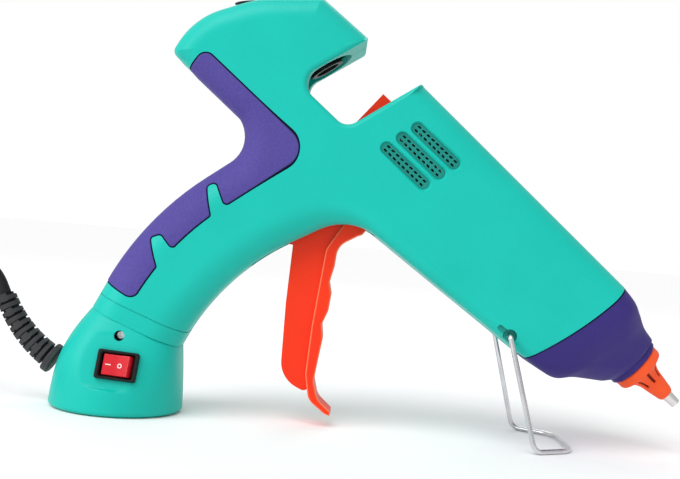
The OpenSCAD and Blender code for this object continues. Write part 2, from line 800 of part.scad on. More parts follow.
/* Switch */
module switch_body() {
  color([0.03, 0.03, 0.03])
    on_flat()
      difference() {
        union() {
          translate([-bezel_w / 2, -bezel_h / 2, 0]) cube([bezel_w, bezel_h, 2]);
          translate([-bezel_w / 2 + 0.8, -bezel_h / 2 + 0.8, -13]) cube([bezel_w - 1.6, bezel_h - 1.6, 13]);
        }
        translate([-room_w / 2, -room_h / 2, -9.5]) cube([room_w, room_h, 14]);
        translate([0, 20, rocker_axis]) rotate([90, 0, 0]) cylinder(r = 1.05, h = 40);
        for (x = [-5, 5])
          translate([x - 0.45, -2.55, -14]) cube([0.9, 5.1, 6]);
      }
}
room_w = rocker_w + 2 * free_gap;
room_h = rocker_h + 2 * free_gap;
rocker_axis = -2;
rocker_r = rocker_w / 2;
// The rocker rests with the end towards the nozzle raised
module switch_rocker() {
  color([0.75, 0.05, 0.06])
    on_flat()
      translate([0, 0, rocker_axis])
        rotate([0, -rocker_half_swing, 0])
          difference() {
            union() {
              intersection() {
                translate([0, rocker_h / 2, 0]) rotate([90, 0, 0]) cylinder(r = rocker_r, h = rocker_h);
                translate([-20, -20, -4]) cube([40, 40, 30]);
              }
              translate([0, rocker_h / 2 + free_gap + 0.7, 0])
                rotate([90, 0, 0])
                  cylinder(r = 1, h = rocker_h + 2 * free_gap + 1.4);
            }
            for (m = [1, -1])
              translate([0, -20, 3.2])
                rotate([0, m * -rocker_half_swing, 0])
                  translate([m > 0 ? 0 : -30, 0, 0])
                    cube([30, 40, 20]);
          }
}
module switch_terminals() {
  color([0.8, 0.7, 0.4])
    on_flat()
      for (x = [-5, 5])
        translate([x - 0.4, -2.5, -20]) cube([0.8, 5, 10.4]);
}

/* Nose and nozzle */
// Rounded oblong across the stick line between an upper and a lower point
function nose_ring(st, ht, sb, hb, w, rt, rb, n = 8) =
  let (
    room = min(w - 0.3, (ht - hb) / 2 - 0.3),
    rt = min(rt, room),
    rb = min(rb, room),
    h = [ht - rt, hb + rb]
  )
    [
      for (q = [0 : 3])
        let (r = q < 2 ? rt : rb, cy = (q == 0 || q == 3 ? 1 : -1) * (w - r), ch = q < 2 ? h[0] : h[1])
          for (i = [0 : n])
            let (
              f = 90 * q + 90 * i / n,
              y = cy + r * cos(f),
              hh = ch + r * sin(f),
              s = mix(sb, st, (hh - hb) / (ht - hb)),
              p = bp(s, hh)
            )
              [p[0], y, p[1]]
    ];
seam_t = tip_s - nose_len + 2.9;
seam_b = tip_s - nose_len - 9.3;
seam_w = half_w(bp((seam_t + seam_b) / 2, 0)[0]);
collar_s = tip_s - 29;
collar_r = 13.2;
function nose_rings(t, d) = [
  nose_ring(
    seam_t + d, top_h - 3.3 - t, seam_b + d, -36.6 + t, seam_w - t, round_top - t / 2, round_low + 1 - t / 2
  ),
  nose_ring(
    seam_t + 9 + d, top_h - 4.5 - t, seam_b + 10.5 + d, -35.6 + t, seam_w - 0.8 - t, 12 - t / 2, 7 - t / 2
  ),
  nose_ring(seam_t + 16 + d, top_h - 6.6 - t, seam_b + 19 + d, -33.2 + t, 23.8 - t, 14 - t / 2, 10 - t / 2),
  nose_ring(seam_t + 23 + d, top_h - 9 - t, seam_b + 26.5 + d, -26.6 + t, 20 - t, 15 - t, 13 - t),
  nose_ring(collar_s - 2 + d, 14.4 - t, collar_s - 6 + d, -17.6 + t, 15.4 - t, 14 - t, 14.6 - t),
  nose_ring(
    collar_s - 1 + d, collar_r - t, collar_s - 2 + d, -collar_r + t, collar_r - t, collar_r - t, collar_r - t
  )
];
module nose_cover() {
  color([0.26, 0.2, 0.5])
    difference() {
      union() {
        loft([for (r = nose_rings(0, 0.25)) r]);
        on_line(collar_s - 4) cylinder(r = collar_r + 0.5, h = 4);
      }
      loft([for (r = nose_rings(2.4, -2.6)) r]);
      on_line(collar_s - 12) cylinder(r = 9.5, h = 30);
    }
}
// Nozzle cone: radius at its root, at its end and at the tip
cone_root = 7.4;
cone_end = 2.9;
tip_end = 2.5;
// Radius of the nozzle cone at s
function cone_r(s) = mix(cone_root, cone_end, (s - (tip_s - 40)) / 34);
module nozzle() {
  color([0.82, 0.82, 0.8])
    on_line()
      difference() {
        union() {
          translate([0, 0, tip_s - 58]) cylinder(r = 4.9, h = 12);
          translate([0, 0, tip_s - 49]) cylinder(r = 8.6, h = 9, $fn = 6);
          translate([0, 0, tip_s - 40]) cylinder(r1 = cone_root, r2 = cone_end, h = 34);
          translate([0, 0, tip_s - 6]) cylinder(r1 = cone_end, r2 = tip_end, h = 6);
        }
        translate([0, 0, tip_s - 70]) cylinder(r = outlet_d / 2, h = 80);
        translate([0, 0, tip_s - 60]) cylinder(r1 = 3.2, r2 = outlet_d / 2, h = 24);
      }
}
module nozzle_cover() {
  color([0.95, 0.33, 0.13])
    on_line()
      difference() {
        rotate_extrude()
          polygon(concat(
            [[cone_r(collar_s + 0.2) + 0.1, collar_s + 0.2], [12.2, collar_s + 0.2], [12.6, collar_s + 0.9]],
            [[12.6, collar_s + 4.4], [11.6, collar_s + 5.4]],
            [for (q = [0 : 5]) let (a = 15 * q) [11.2 - 5.6 * sin(a), collar_s + 5.6 + 9.4 * (1 - cos(a))]],
            [[cone_end + 1.3, collar_s + 21.4], [cone_end + 0.8, collar_s + 22.6]],
            [[cone_r(collar_s + 22.6) + 0.1, collar_s + 22.6]]
          ));
        for (q = [0 : 7])
          rotate([0, 0, 45 * q + 22.5])
            translate([7.2, -0.7, collar_s + 5])
              cube([4, 1.4, 7]);
      }
}

/* Melt chamber */
chamber_end = tip_s - 49;
spigot_r = wide_r + 1.1;
sleeve_r = spigot_r + 1.3;
module melt_chamber() {
  color([0.78, 0.79, 0.8])
    difference() {
      union() {
        on_line(58) cylinder(r = spigot_r, h = 14);
        on_line(70) cylinder(r = chamber_r, h = chamber_end - 70);
        slab(88, block_end, -20.4, -6, -8.5, 8.5);
      }
      on_line(57) cylinder(r = wide_r, h = chamber_end - 12 - 57);
      on_line(chamber_end - 13) cylinder(r = 4.95, h = 20);
      slab(87, block_end + 1, -18, -12.4, -6.6, 6.6);
    }
}
module support(s) {
  difference() {
    on_line(s) cylinder(r = support_r, h = 5);
    on_line(s - 1) cylinder(r = chamber_r + 0.05, h = 7);
  }
}
module rear_support() {
  color([0.35, 0.22, 0.12]) support(rear_s);
}
module front_support() {
  color([0.35, 0.22, 0.12]) support(front_s);
}
module heater_film() {
  color([0.75, 0.45, 0.1])
    difference() {
      slab(86, block_end + 2, -17.9, -12.5, -6.5, 6.5);
      slab(85, block_end + 3, -17.6, -12.8, -6.2, 6.2);
    }
}
// Three heater plates in a row with gaps between
plate_s = 92;
plate_gap = 2;
plate_pitch = (block_end - 1 + plate_gap - plate_s) / 3;
module heater_plates() {
  color([0.45, 0.45, 0.46])
    for (s = [plate_s : plate_pitch : block_end - plate_pitch + plate_gap])
      slab(s, s + plate_pitch - plate_gap, -16.9, -13.5, -5.5, 5.5);
}
module heater_electrodes() {
  color([0.85, 0.75, 0.45]) {
    slab(85, block_end, -13.5, -12.85, -5, -0.5);
    slab(91, block_end, -13.5, -12.85, -0.6, 5);
    slab(85, block_end, -17.55, -16.9, 0.5, 5);
    slab(91, block_end, -17.55, -16.9, -5, 0.6);
  }
}
module inlet_sleeve() {
  color([0.85, 0.2, 0.12])
    on_line()
      difference() {
        translate([0, 0, 44.8]) cylinder(r = sleeve_r, h = 25);
        translate([0, 0, 40]) cylinder(r = wide_r + 0.1, h = 30);
        translate([0, 0, 57.9]) cylinder(r = spigot_r + 0.05, h = 30);
      }
}
module sleeve_clip() {
  color([0.75, 0.76, 0.78])
    on_line()
      difference() {
        union() {
          translate([0, 0, 61]) cylinder(r = sleeve_r + 0.9, h = 5);
          translate([sleeve_r, -2.5, 61]) cube([4, 5, 5]);
        }
        translate([0, 0, 60]) cylinder(r = sleeve_r + 0.05, h = 7);
        translate([sleeve_r - 1, -0.6, 60]) cube([6, 1.2, 7]);
      }
}
// Tube that guides the stick through the hump, its ends cut along the two faces
module stick_guide() {
  color([0.05, 0.05, 0.06])
    intersection() {
      on_line(-110)
        difference() {
          cylinder(r = inlet_r, h = 100);
          translate([0, 0, -1]) cylinder(r = clear_r, h = 110);
        }
      guide_span();
    }
}
guide_a = mix(PTS[4], PTS[5], 0.5);
module guide_span() {
  d = DIRS[5];
  e = DIRS[7];
  o = bp(-80, 0.7) + [0, 0.2];
  q = mix(PTS[7], PTS[8], 0.5) + inward(e) * -0.2;
  plate_y([o - d * 40, o + d * 45, q - e * 14, q + e * 24, o - d * 20 - [0, 60]], -20, 20);
}

/* Trigger and carriage */
function tp(x, z) = pin_p + [x, z];
WEB = [
  [tp(-6, 4), 3], [tp(6, 4), 3], [tp(13, -21), 8], [tp(-2.6, -30), 0], [tp(-4.2, -46), 0], [tp(-6.4, -68), 0],
  [tp(-7.6, -92), 8], [tp(-6.2, -102.4), 3], [tp(-21.8, -95.5), 14], [tp(-22, -58), 0], [tp(-21, -28), 6],
  [tp(-38, -36), 0.6], [tp(-36, -31), 0.6], [tp(-14, -16), 4]
];
STRIP = [
  [tp(15.6, -20.4), 1.5], [tp(10.8, -22.4), 6], [tp(1.4, -28), 9], [tp(0.6, -38), 0], [tp(-1.2, -46.2), 2.5],
  [tp(0.2, -52), 4], [tp(-0.6, -60), 4], [tp(-3.2, -67), 2.5], [tp(-2.2, -74), 4], [tp(-3.4, -83), 0],
  [tp(-4.9, -95), 8], [tp(-2.6, -103.6), 9], [tp(5.4, -110.4), 1], [tp(3.6, -112.4), 1], [tp(-7, -104.6), 8],
  [tp(-9.4, -92), 8], [tp(-8.2, -68), 0], [tp(-6, -46), 0], [tp(-4.4, -30), 9],
  [tp(4, -16), 3], [tp(14, -17.4), 1.5]
];
module trigger() {
  color([0.92, 0.29, 0.17])
    difference() {
      union() {
        plate_y(soft_poly(WEB), -web_half, web_half);
        plate_y(soft_poly(STRIP), -strip_half, strip_half);
        rod_y(pin_p, 6.4, -fork_out, fork_out);
        for (m = [0, 1])
          mirror([0, m, 0]) {
            plate_y(soft_poly([
              [tp(-5, -2), 1], arm_corner(-5.5, 6), arm_corner(5.5, 6), [tp(6.4, -2), 1]
            ]), fork_in, fork_out);
          }
      }
      rod_y(pin_p, pin_d / 2 + run_gap, -20, 20);
      // slots for the carriage pins
      on_line(trunnion_s)
        for (d = [-0.7, 0, 0.7])
          translate([d * arm_dir[1], 30, d * arm_dir[0]])
            rotate([90, 0, 0])
              cylinder(r = 3 + 0.35, h = 60);
    }
}
arm_dir = unit([trunnion_s - foot_s, arm]);
// Corner of the fork end, given along and across the stick line from the carriage pin
function arm_corner(s, h) = [bp(trunnion_s + s, h), 4];
module trigger_pin() {
  color([0.75, 0.76, 0.78]) rod_y(pin_p, pin_d / 2, -19, 19);
}
module stick_carriage() {
  color([0.92, 0.29, 0.17])
    difference() {
      union() {
        slab(-4.3, 13.7, -14.2, 9.4, -carriage_half, carriage_half);
        rod_y(bp(trunnion_s, 0), 3, -fork_out - 0.2, 0.1 - carriage_half);
        rod_y(bp(trunnion_s, 0), 3, carriage_half - 0.1, fork_out + 0.2);
      }
      on_line(-30) cylinder(r = wide_r, h = 80);
      slab(-0.05, 5.05, -14.3, -4, -3.05, 3.05);
    }
}
module grip_blade() {
  color([0.7, 0.71, 0.73])
    difference() {
      slab(0, 5, -13.4, -5.2, -3, 3);
      on_line(-30) cylinder(r = clear_r - 0.2, h = 80);
    }
}
// Coil spring round the stick between the carriage and its seat
spring_r = 9.2;
spring_wire = 1.2;
spring_turns = 6;
module return_spring() {
  color([0.7, 0.71, 0.73])
    on_line()
      union() {
        tube([
          for (i = [0 : spring_turns * 16])
            let (
              q = 360 * i / 16,
              z = mix(13.7 + spring_wire / 2 + 0.05, 42 - spring_wire / 2 - 0.05, spring_rise(i))
            )
              [spring_r * cos(q), spring_r * sin(q), z]
        ], spring_wire / 2, 6);
      }
}
function spring_rise(i) = let (t = i / 16 / spring_turns) min(1, max(0, (t - 0.12) / 0.76));

/* Stand */
// Tube swept along a list of points
function tube_dirs(p) =
  [for (i = [0 : len(p) - 1]) unit(p[min(i + 1, len(p) - 1)] - p[max(i - 1, 0)])];
function carry(v, d) = unit(v - d * (v * d));
function tube_sides(d, i, v) =
  i >= len(d) ? [] : let (w = carry(v, d[i])) concat([w], tube_sides(d, i + 1, w));
module tube(p, r, n) {
  d = tube_dirs(p);
  start = abs(d[0][2]) > 0.9 ? [1, 0, 0] : [0, 0, 1];
  side = tube_sides(d, 0, start);
  loft([
    for (i = [0 : len(p) - 1])
      let (u = side[i], w = cross(d[i], u), rr = is_list(r) ? r[i] : r)
        [for (k = [0 : n - 1]) p[i] + (u * cos(360 * k / n) + w * sin(360 * k / n)) * rr]
  ]);
}
// Path with rounded corners through a list of [point, radius]
function bend_points(a, v, b, r, n) =
  let (
    da = unit(v - a),
    db = unit(b - v),
    t = acos(max(-1, min(1, da * db))),
    l = r * tan(t / 2),
    c = v + unit(db - da) * (r / cos(t / 2)),
    p = v - da * l - c
  ) [for (j = [0 : n]) let (q = t * j / n) p * cos(q) + da * (r * sin(q)) + c];
function soft_path(c, n = 5) = [
  for (i = [0 : len(c) - 1])
    for (w = c[i][1] <= 0 ? [c[i][0]] : bend_points(c[i - 1][0], c[i][0], c[i + 1][0], c[i][1], n))
      w
];
heel_x = stand_p[0] + stand_lean;
function stand_half_path(m) = [
  [[stand_p[0], m * (stand_y - 2.2), stand_p[1]], 0],
  [[stand_p[0], m * stand_y, stand_p[1]], 2],
  [[heel_x, m * stand_half, wire_r], 5],
  [[heel_x + foot_len, m * (stand_half - 12), wire_r], 14]
];
module wire_stand() {
  color([0.8, 0.81, 0.83]) {
    a = stand_half_path(-1);
    b = stand_half_path(1);
    tube(soft_path(concat(a, [b[3], b[2], b[1], b[0]])), wire_r, 10);
    for (m = [-1, 1])
      far_or_near(m)
        rod_y(stand_p, wire_r + 0.05, half_w(stand_p[0]) - 5.2, stand_y - 1.6);
  }
}

/* Strain relief, cord and plug */
relief_p = [-29.6, 19.6];
relief_a = 27;
relief_turn = 40;
relief_len = 45;
relief_neck = 5;
relief_bend = relief_len / (relief_turn * PI / 180);
cord_r = cord_d / 2;
module on_relief() {
  translate([relief_p[0], 0, relief_p[1]])
    rotate([0, -90 + relief_a, 0])
      children();
}
// Point and heading of the relief at length u
function relief_q(u) = relief_a + relief_turn * u / relief_len;
function relief_at(u) =
  [relief_p[0] - relief_bend * (sin(relief_q(u)) - sin(relief_a)), 0,
   relief_p[1] + relief_bend * (cos(relief_a) - cos(relief_q(u)))];
ribs = 10;
RELIEF = concat(
  [[3, relief_neck + 2.6], [6, relief_neck + 2.6], [6.6, 4.4]],
  [
    for (i = [0 : ribs - 1])
      for (k = [0 : 3])
        [7.6 + i * 3.7 + [0, 0.5, 2.1, 2.6][k], [4.5, 6.2, 6.2, 4.5][k] - 0.13 * i]
  ],
  [[relief_len, 4]]
);
module strain_relief() {
  color([0.08, 0.08, 0.09]) {
    tube([for (r = RELIEF) relief_at(r[0])], [for (r = RELIEF) r[1]], 16);
    on_relief() translate([0, 0, -6]) cylinder(r = relief_neck, h = 9.4);
    on_relief() translate([0, 0, -6]) cylinder(r = relief_neck + 1.6, h = 2);
  }
}
module cord_tail() {
  color([0.08, 0.08, 0.09]) on_relief() translate([0, 0, -tail_len]) cylinder(r = cord_r, h = tail_len - 6);
}
// Leads inside: switch to heater, heater back to the splice, and cord to switch
lead_r = 1;
function at3(p, y) = [p[0], y, p[1]];
function flat_at(x, y, z) =
  let (a = 90 - flat_tilt, u = x * cos(-3) - y * sin(-3), v = x * sin(-3) + y * cos(-3))
    [4.6 + u, -flat_y + v * cos(a) - z * sin(a), switch_z + v * sin(a) + z * cos(a)];
splice_p = [1.2, 6, 12];
function handle_run(m) = [
  [at3(bp(82.4, -26), m * 4), 4],
  [at3(bp(50, -26.5), m * 15.5), 8],
  [at3(bp(0, -27.5), m * 16), 10],
  [at3(mix(crotch, front_bend, 0.42), m * 11), 10],
  [at3(mix(back_bend, front_bend, 0.62), m * 7), 10],
  [at3(seam_c + seam_e * 4, m * 5), 10]
];
module heater_leads() {
  color([0.75, 0.72, 0.66]) {
    tube(soft_path(concat(
      [[at3(bp(84.95, -13.2), -2.75), 0], [at3(bp(82.4, -13.2), -2.75), 1.6]],
      handle_run(-1),
      [[flat_at(-5, 0, -30), 5], [flat_at(-5, 0, -20.05), 0]]
    ), 3), lead_r, 6);
    tube(soft_path(concat(
      [[at3(bp(84.95, -17.2), 2.75), 0], [at3(bp(82.4, -17.2), 2.75), 1.6]],
      handle_run(1),
      [[splice_p + [1.2, 0, 16], 6], [splice_p + [1.2, 0, 6.05], 0]]
    ), 3), lead_r, 6);
  }
}
module supply_leads() {
  color([0.2, 0.3, 0.7]) {
    tube(soft_path([
      [tail_out + [0, -1.4, 0], 0], [tail_end + [7, -1.6, -2], 4],
      [flat_at(5, 0, -30), 5], [flat_at(5, 0, -20.05), 0]
    ], 3), lead_r, 6);
    tube(soft_path([
      [tail_out + [0, 1.4, 0], 0], [splice_p + [-10, -2, 3], 4], [splice_p + [-7.2, 0, 14], 3],
      [splice_p + [-1.2, 0, 14], 3], [splice_p + [-1.2, 0, 6.05], 0]
    ], 3), lead_r, 6);
  }
}
module splice_cap() {
  color([0.85, 0.85, 0.82]) translate(splice_p + [0, 0, -6]) cylinder(r1 = 2.6, r2 = 3.2, h = 12);
}
tail_len = 15;
function tail_at(u) = [relief_p[0] + u * cos(relief_a), 0, relief_p[1] - u * sin(relief_a)];
tail_end = tail_at(tail_len);
tail_out = tail_at(tail_len + 0.85);

// Route of the free cord from the relief to the coil, then the coil turns, then the tail to the plug
tip = relief_at(relief_len);
tip_d = [-cos(relief_q(relief_len)), 0, sin(relief_q(relief_len))];
lay = cord_d + coil_gap;
coil_c = [-141, 22];
coil_turns = 2.625;
coil_mid = coil_turns + 0.25;
tie_t = 0.8;
coil_low = cord_r + tie_t + 0.05;
coil_out = coil_r + lay * coil_mid / 2;
// Point of the coil after t turns: spirals in on the lower layer, climbs a layer in the half turn where
// the spiral turns back, spirals out on the upper layer and climbs again in its last half turn
function ease(x) = x * x * (3 - 2 * x);
function climb(x) = lay * ease(max(0, min(1, x)));
function coil_radius(t) = coil_out - lay * (coil_mid - abs(t - coil_mid));
function coil_level(t) = coil_low + climb((t - coil_turns) * 2) + climb((t - coil_end) * 2 + 1);
function coil_at(t) =
  let (q = -90 - 360 * t)
    [coil_c[0] + coil_radius(t) * cos(q), coil_c[1] + coil_radius(t) * sin(q), coil_level(t)];
coil_end = 2 * coil_mid;
COIL = concat(
  [coil_at(0), coil_at(0.004)],
  [for (i = [1 : 24 * coil_end - 1]) coil_at(i / 24)],
  [coil_at(coil_end - 0.004), coil_at(coil_end)]
);
coil_least = min([
  for (i = [0 : len(COIL) - 1])
    for (j = [i + 12 : 1 : len(COIL) - 1])
      norm(COIL[i] - COIL[j])
]) - cord_d;
echo(least_gap_of_coil = coil_least);

// Smooth curve through hand-chosen points
function spline(p, i, t) =
  let (
    n = len(p),
    a = p[max(i - 1, 0)],
    b = p[i],
    c = p[min(i + 1, n - 1)],
    d = p[min(i + 2, n - 1)]
  ) (b * 2 + (c - a) * t + (a * 2 - b * 5 + c * 4 - d) * t * t + (b * 3 - a - c * 3 + d) * t * t * t) / 2;
function along(p, k) =
  concat([for (i = [1 : len(p) - 3]) for (j = [0 : k - 1]) spline(p, i, j / k)], [p[len(p) - 2]]);
function path_length(p, i = 0) = i >= len(p) - 1 ? 0 : norm(p[i + 1] - p[i]) + path_length(p, i + 1);
coil_in = COIL[0];
coil_in_d = unit(COIL[0] - COIL[1]);
ROUTE = [
  tip - tip_d * 10,
  tip,
  tip + [-5, -0.4, 9.1],
  tip + [-13, -1.6, 15.8],
  tip + [-22.9, -3.4, 18.9],
  tip + [-33.2, -5.7, 17.9],
  tip + [-42.4, -8.3, 13.1],
  tip + [-49.1, -11, 5.2],
  tip + [-52.8, -13.4, -4.4],
  tip + [-53.9, -15.5, -14.6],
  coil_in + [27.2, 4.2, 23.4],
  coil_in + [24.4, 2.9, 14.8],
  coil_in + [18.4, 1.4, 7.1],
  coil_in + [9.6, 0.4, 1.75],
  coil_in + coil_in_d * 0.12,
  coil_in - coil_in_d * 10
];
CORD = along(ROUTE, 3);
coil_off = COIL[len(COIL) - 1];
// The tail turns inwards over the coil, and the plug lies on the upper layer
tail_r = 28;
tail_run = 8;
tail_arc = tail_r * PI / 2;
plug_z = coil_low + lay + cord_r + plug_h / 2 + 0.05;
function tail_pt(q, run) =
  let (share = min(1, (tail_r * q * PI / 180 + run) / (tail_arc + tail_run)))
    [
      coil_off[0] - tail_r * (1 - cos(q)) - run,
      coil_off[1] - tail_r * sin(q),
      mix(coil_off[2], plug_z, ease(share))
    ];
TAIL = concat(
  [tail_pt(0.25, 0), tail_pt(2, 0)],
  [for (i = [1 : 6]) tail_pt(15 * i, 0)],
  [tail_pt(90, tail_run)]
);
plug_p = TAIL[len(TAIL) - 1];
cord_length = tail_len + relief_len + path_length(CORD) + path_length(COIL) + path_length(TAIL);
echo(cord_length = cord_length);
module cord() {
  color([0.08, 0.08, 0.09]) tube(CORD, cord_r, 8);
}
module cord_coil() {
  color([0.08, 0.08, 0.09]) tube(COIL, cord_r, 6);
}
module cord_end() {
  color([0.08, 0.08, 0.09]) tube(TAIL, cord_r, 8);
}
// Band round the turns on the side away from the object
module coil_tie() {
  w = [coil_out - lay * (coil_mid - 0.375) - cord_r - 0.3, coil_out - lay * 0.25 + cord_r + 0.3];
  h = lay + cord_d + 0.1;
  color([0.12, 0.12, 0.13])
    translate([coil_c[0], coil_c[1], 0])
      difference() {
        translate([-w[1] - tie_t, -3.5, 0]) cube([w[1] - w[0] + 2 * tie_t, 7, h + 2 * tie_t]);
        translate([-w[1], -5, tie_t]) cube([w[1] - w[0], 10, h]);
      }
}
blade_gap = 12.7;
plug_len = 32;
module plug_body() {
  color([0.07, 0.07, 0.08])
    translate(plug_p)
      rotate([0, 0, -90]) difference() {
        union() {
          translate([0, -12, 0])
            rotate([90, 0, 0])
              linear_extrude(plug_len)
                polygon(soft_poly([
                  [[-plug_w / 2, -plug_h / 2], 4], [[-plug_w / 2, plug_h / 2], 4],
                  [[plug_w / 2, plug_h / 2], 4], [[plug_w / 2, -plug_h / 2], 4]
                ]));
          rotate([90, 0, 0]) translate([0, 0, 0.02]) cylinder(r1 = cord_r + 0.8, r2 = 6.6, h = 14);
        }
        for (x = [-blade_gap / 2, blade_gap / 2])
          translate([x - 0.8, -14 - plug_len, -3.2]) cube([1.6, 10, 6.4]);
      }
}
module plug_pins() {
  color([0.85, 0.75, 0.45])
    translate(plug_p)
      rotate([0, 0, -90]) for (x = [-blade_gap / 2, blade_gap / 2])
        translate([x - 0.75, -12 - plug_len - 16.5, -3.15]) cube([1.5, 24, 6.3]);
}

right_shell();
left_shell();
right_grip();
left_grip();
base_cup();
base_plate();
base_screws();
cup_screws();
shell_screws();
nose_cover();
nozzle_cover();
nozzle();
melt_chamber();
front_support();
rear_support();
heater_plates();
heater_electrodes();
heater_film();
inlet_sleeve();
sleeve_clip();
stick_guide();
trigger();
trigger_pin();
return_spring();
stick_carriage();
grip_blade();
switch_body();
switch_terminals();
switch_rocker();
wire_stand();
strain_relief();
cord_tail();
heater_leads();
supply_leads();
splice_cap();
cord();
cord_coil();
cord_end();
coil_tie();
plug_body();
plug_pins();
right_hump();
left_hump();
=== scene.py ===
"""Looks of the hot glue applicator: turquoise half shells with a purple soft grip, purple nose, orange
trigger and nozzle cover, rocker switch, wire stand, ribbed strain relief and a coiled mains lead.
Sizes are in millimetres and turn into metres where a mesh is made. X runs to the nozzle, Y away from
the viewer, Z up."""

import math

import bmesh
import bpy
import numpy as np
from mathutils import Matrix, Vector
from mathutils.geometry import delaunay_2d_cdt


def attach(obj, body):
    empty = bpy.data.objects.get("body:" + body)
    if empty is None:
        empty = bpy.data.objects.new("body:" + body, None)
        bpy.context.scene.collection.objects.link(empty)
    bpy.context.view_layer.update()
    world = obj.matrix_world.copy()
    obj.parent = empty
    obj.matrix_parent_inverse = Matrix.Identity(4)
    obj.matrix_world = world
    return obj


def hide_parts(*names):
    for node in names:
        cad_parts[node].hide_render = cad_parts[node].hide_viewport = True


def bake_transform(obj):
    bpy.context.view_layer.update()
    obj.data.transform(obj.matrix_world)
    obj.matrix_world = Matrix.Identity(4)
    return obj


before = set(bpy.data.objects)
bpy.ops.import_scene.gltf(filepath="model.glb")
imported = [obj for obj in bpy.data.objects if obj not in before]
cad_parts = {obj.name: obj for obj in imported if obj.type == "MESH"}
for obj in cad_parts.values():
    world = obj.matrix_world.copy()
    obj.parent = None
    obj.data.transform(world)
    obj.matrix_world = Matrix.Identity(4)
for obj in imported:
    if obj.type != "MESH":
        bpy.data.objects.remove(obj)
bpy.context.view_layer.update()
MM = 0.001
HOUSING, TRIGGER, CARRIAGE, ROCKER, STAND = "housing", "trigger", "carriage", "rocker", "stand"

# Driving sizes, as in the solids. The stick line runs from the barrel's mouth to the nozzle: s is the place
# along it, h the height over it. HUMP_H and NOTCH_H are depths below it.
PITCH = math.radians(38.9)
MOUTH = np.array([117.25, 155.9])
AX = np.array([math.cos(PITCH), -math.sin(PITCH)])
UP = np.array([math.sin(PITCH), math.cos(PITCH)])
WALL = 3.0
TOP_H, NOTCH_H, HUMP_H = 24.7, 16.4, 47.6
ROUND_TOP, ROUND_HANDLE, ROUND_BACK, ROUND_LOW, ROUND_NOTCH = 11.0, 16.0, 9.0, 5.0, 2.5
TIP_S, NOSE_LEN = 207.5, 65.5
CUP_WALL, BASE_R, SEAM_HALF = 2.6, 33.0, 23.7
SEAM_TILT = math.radians(20.1)
CORD_R = 3.0


def at(s, h):
    """Point s along the stick line from the mouth and h above it, as x and z."""
    return MOUTH + np.multiply.outer(s, AX) + np.multiply.outer(h, UP)


def half_w(x):
    """Half width of the housing, which grows evenly towards the nozzle."""
    return 21 + 0.028 * x


def unit(v):
    return np.asarray(v, float) / np.linalg.norm(v)


def around(n):
    """Even angles of a full turn."""
    return 2 * np.pi * np.arange(n) / n


def heading(a):
    return np.stack([np.cos(a), np.sin(a)], -1)


def spun(v, a):
    """Plane vector turned by an angle."""
    return np.stack([v[0] * np.cos(a) - v[1] * np.sin(a), v[0] * np.sin(a) + v[1] * np.cos(a)], -1)


def cross(a, b):
    """Cross product of plane vectors."""
    return a[..., 0] * b[..., 1] - a[..., 1] * b[..., 0]


def inward(d):
    """Normal of a heading, to its right: outlines run clockwise."""
    return np.stack([np.asarray(d)[..., 1], -np.asarray(d)[..., 0]], -1)


def length_along(p):
    """Length of a path up to each of its points."""
    return np.concatenate([[0], np.cumsum(np.linalg.norm(np.diff(p, axis=0), axis=1))])


def in_depth(xz, y):
    """Plane points x, z with the depth y put between them."""
    xz = np.asarray(xz, float)
    return np.stack([xz[..., 0], np.broadcast_to(y, xz.shape[:-1]), xz[..., 1]], -1)


def ease(x):
    """Rises from 0 to 1 with level ends."""
    x = np.clip(x, 0, 1)
    return x * x * (3 - 2 * x)


# Outlines and surfaces
def arc(v, da, db, r, n):
    """Arc of radius r that rounds the corner v between headings da and db, in n steps."""
    turn = math.atan2(cross(da, db), float(da @ db))
    p = v - da * r * math.tan(abs(turn) / 2)
    c = p + inward(da) * r * (1 if turn < 0 else -1)
    return c + spun(p - c, turn * np.arange(n + 1) / n)


def soft_poly(corners, fine=6.0):
    """Closed outline through corners, each a point and the radius that rounds it in steps of some degrees."""
    p = np.array([c[0] for c in corners], float)
    d = np.roll(p, -1, 0) - p
    d /= np.linalg.norm(d, axis=1)[:, None]
    rows = []
    for i, (_, r) in enumerate(corners):
        turn = math.degrees(math.acos(np.clip(d[i - 1] @ d[i], -1, 1)))
        if r <= 0 or turn < 0.5:
            rows.append(p[i][None])
        else:
            rows.append(arc(p[i], d[i - 1], d[i], r, max(3, math.ceil(turn / fine))))
    return np.concatenate(rows)


def area_of(poly):
    return 0.5 * np.sum(cross(poly, np.roll(poly, -1, 0)))


def inset(poly, d):
    """Closed outline moved inwards by d: each corner goes along the mean of its two edge normals."""
    e = np.roll(poly, -1, 0) - poly
    e /= np.maximum(np.linalg.norm(e, axis=1), 1e-9)[:, None]
    n = np.stack([-e[:, 1], e[:, 0]], -1) * np.sign(area_of(poly))
    m = n + np.roll(n, 1, 0)
    return poly + d * 2 * m / np.maximum((m * m).sum(1), 0.8)[:, None]


def dense(poly, step, closed=True):
    """Outline with points added so that no side is longer than step."""
    q = np.vstack([poly, poly[:1]]) if closed else poly
    u = length_along(q)
    keep = np.unique(np.round(np.concatenate([u[:-1] if closed else u, np.arange(0, u[-1], step)]), 6))
    keep = keep[np.concatenate([[True], np.diff(keep) > 0.15])]
    return np.stack([np.interp(keep, u, q[:, k]) for k in range(q.shape[1])], -1)


def grid_faces(rows, cols, wrap_rows=False, wrap_cols=True):
    """Quads of a grid of points; wrapping joins its last row or column to its first."""
    r, c = np.meshgrid(np.arange(rows if wrap_rows else rows - 1),
                       np.arange(cols if wrap_cols else cols - 1), indexing="ij")
    r1, c1 = (r + 1) % rows, (c + 1) % cols
    return np.stack([r * cols + c, r * cols + c1, r1 * cols + c1, r1 * cols + c], -1).reshape(-1, 4).tolist()


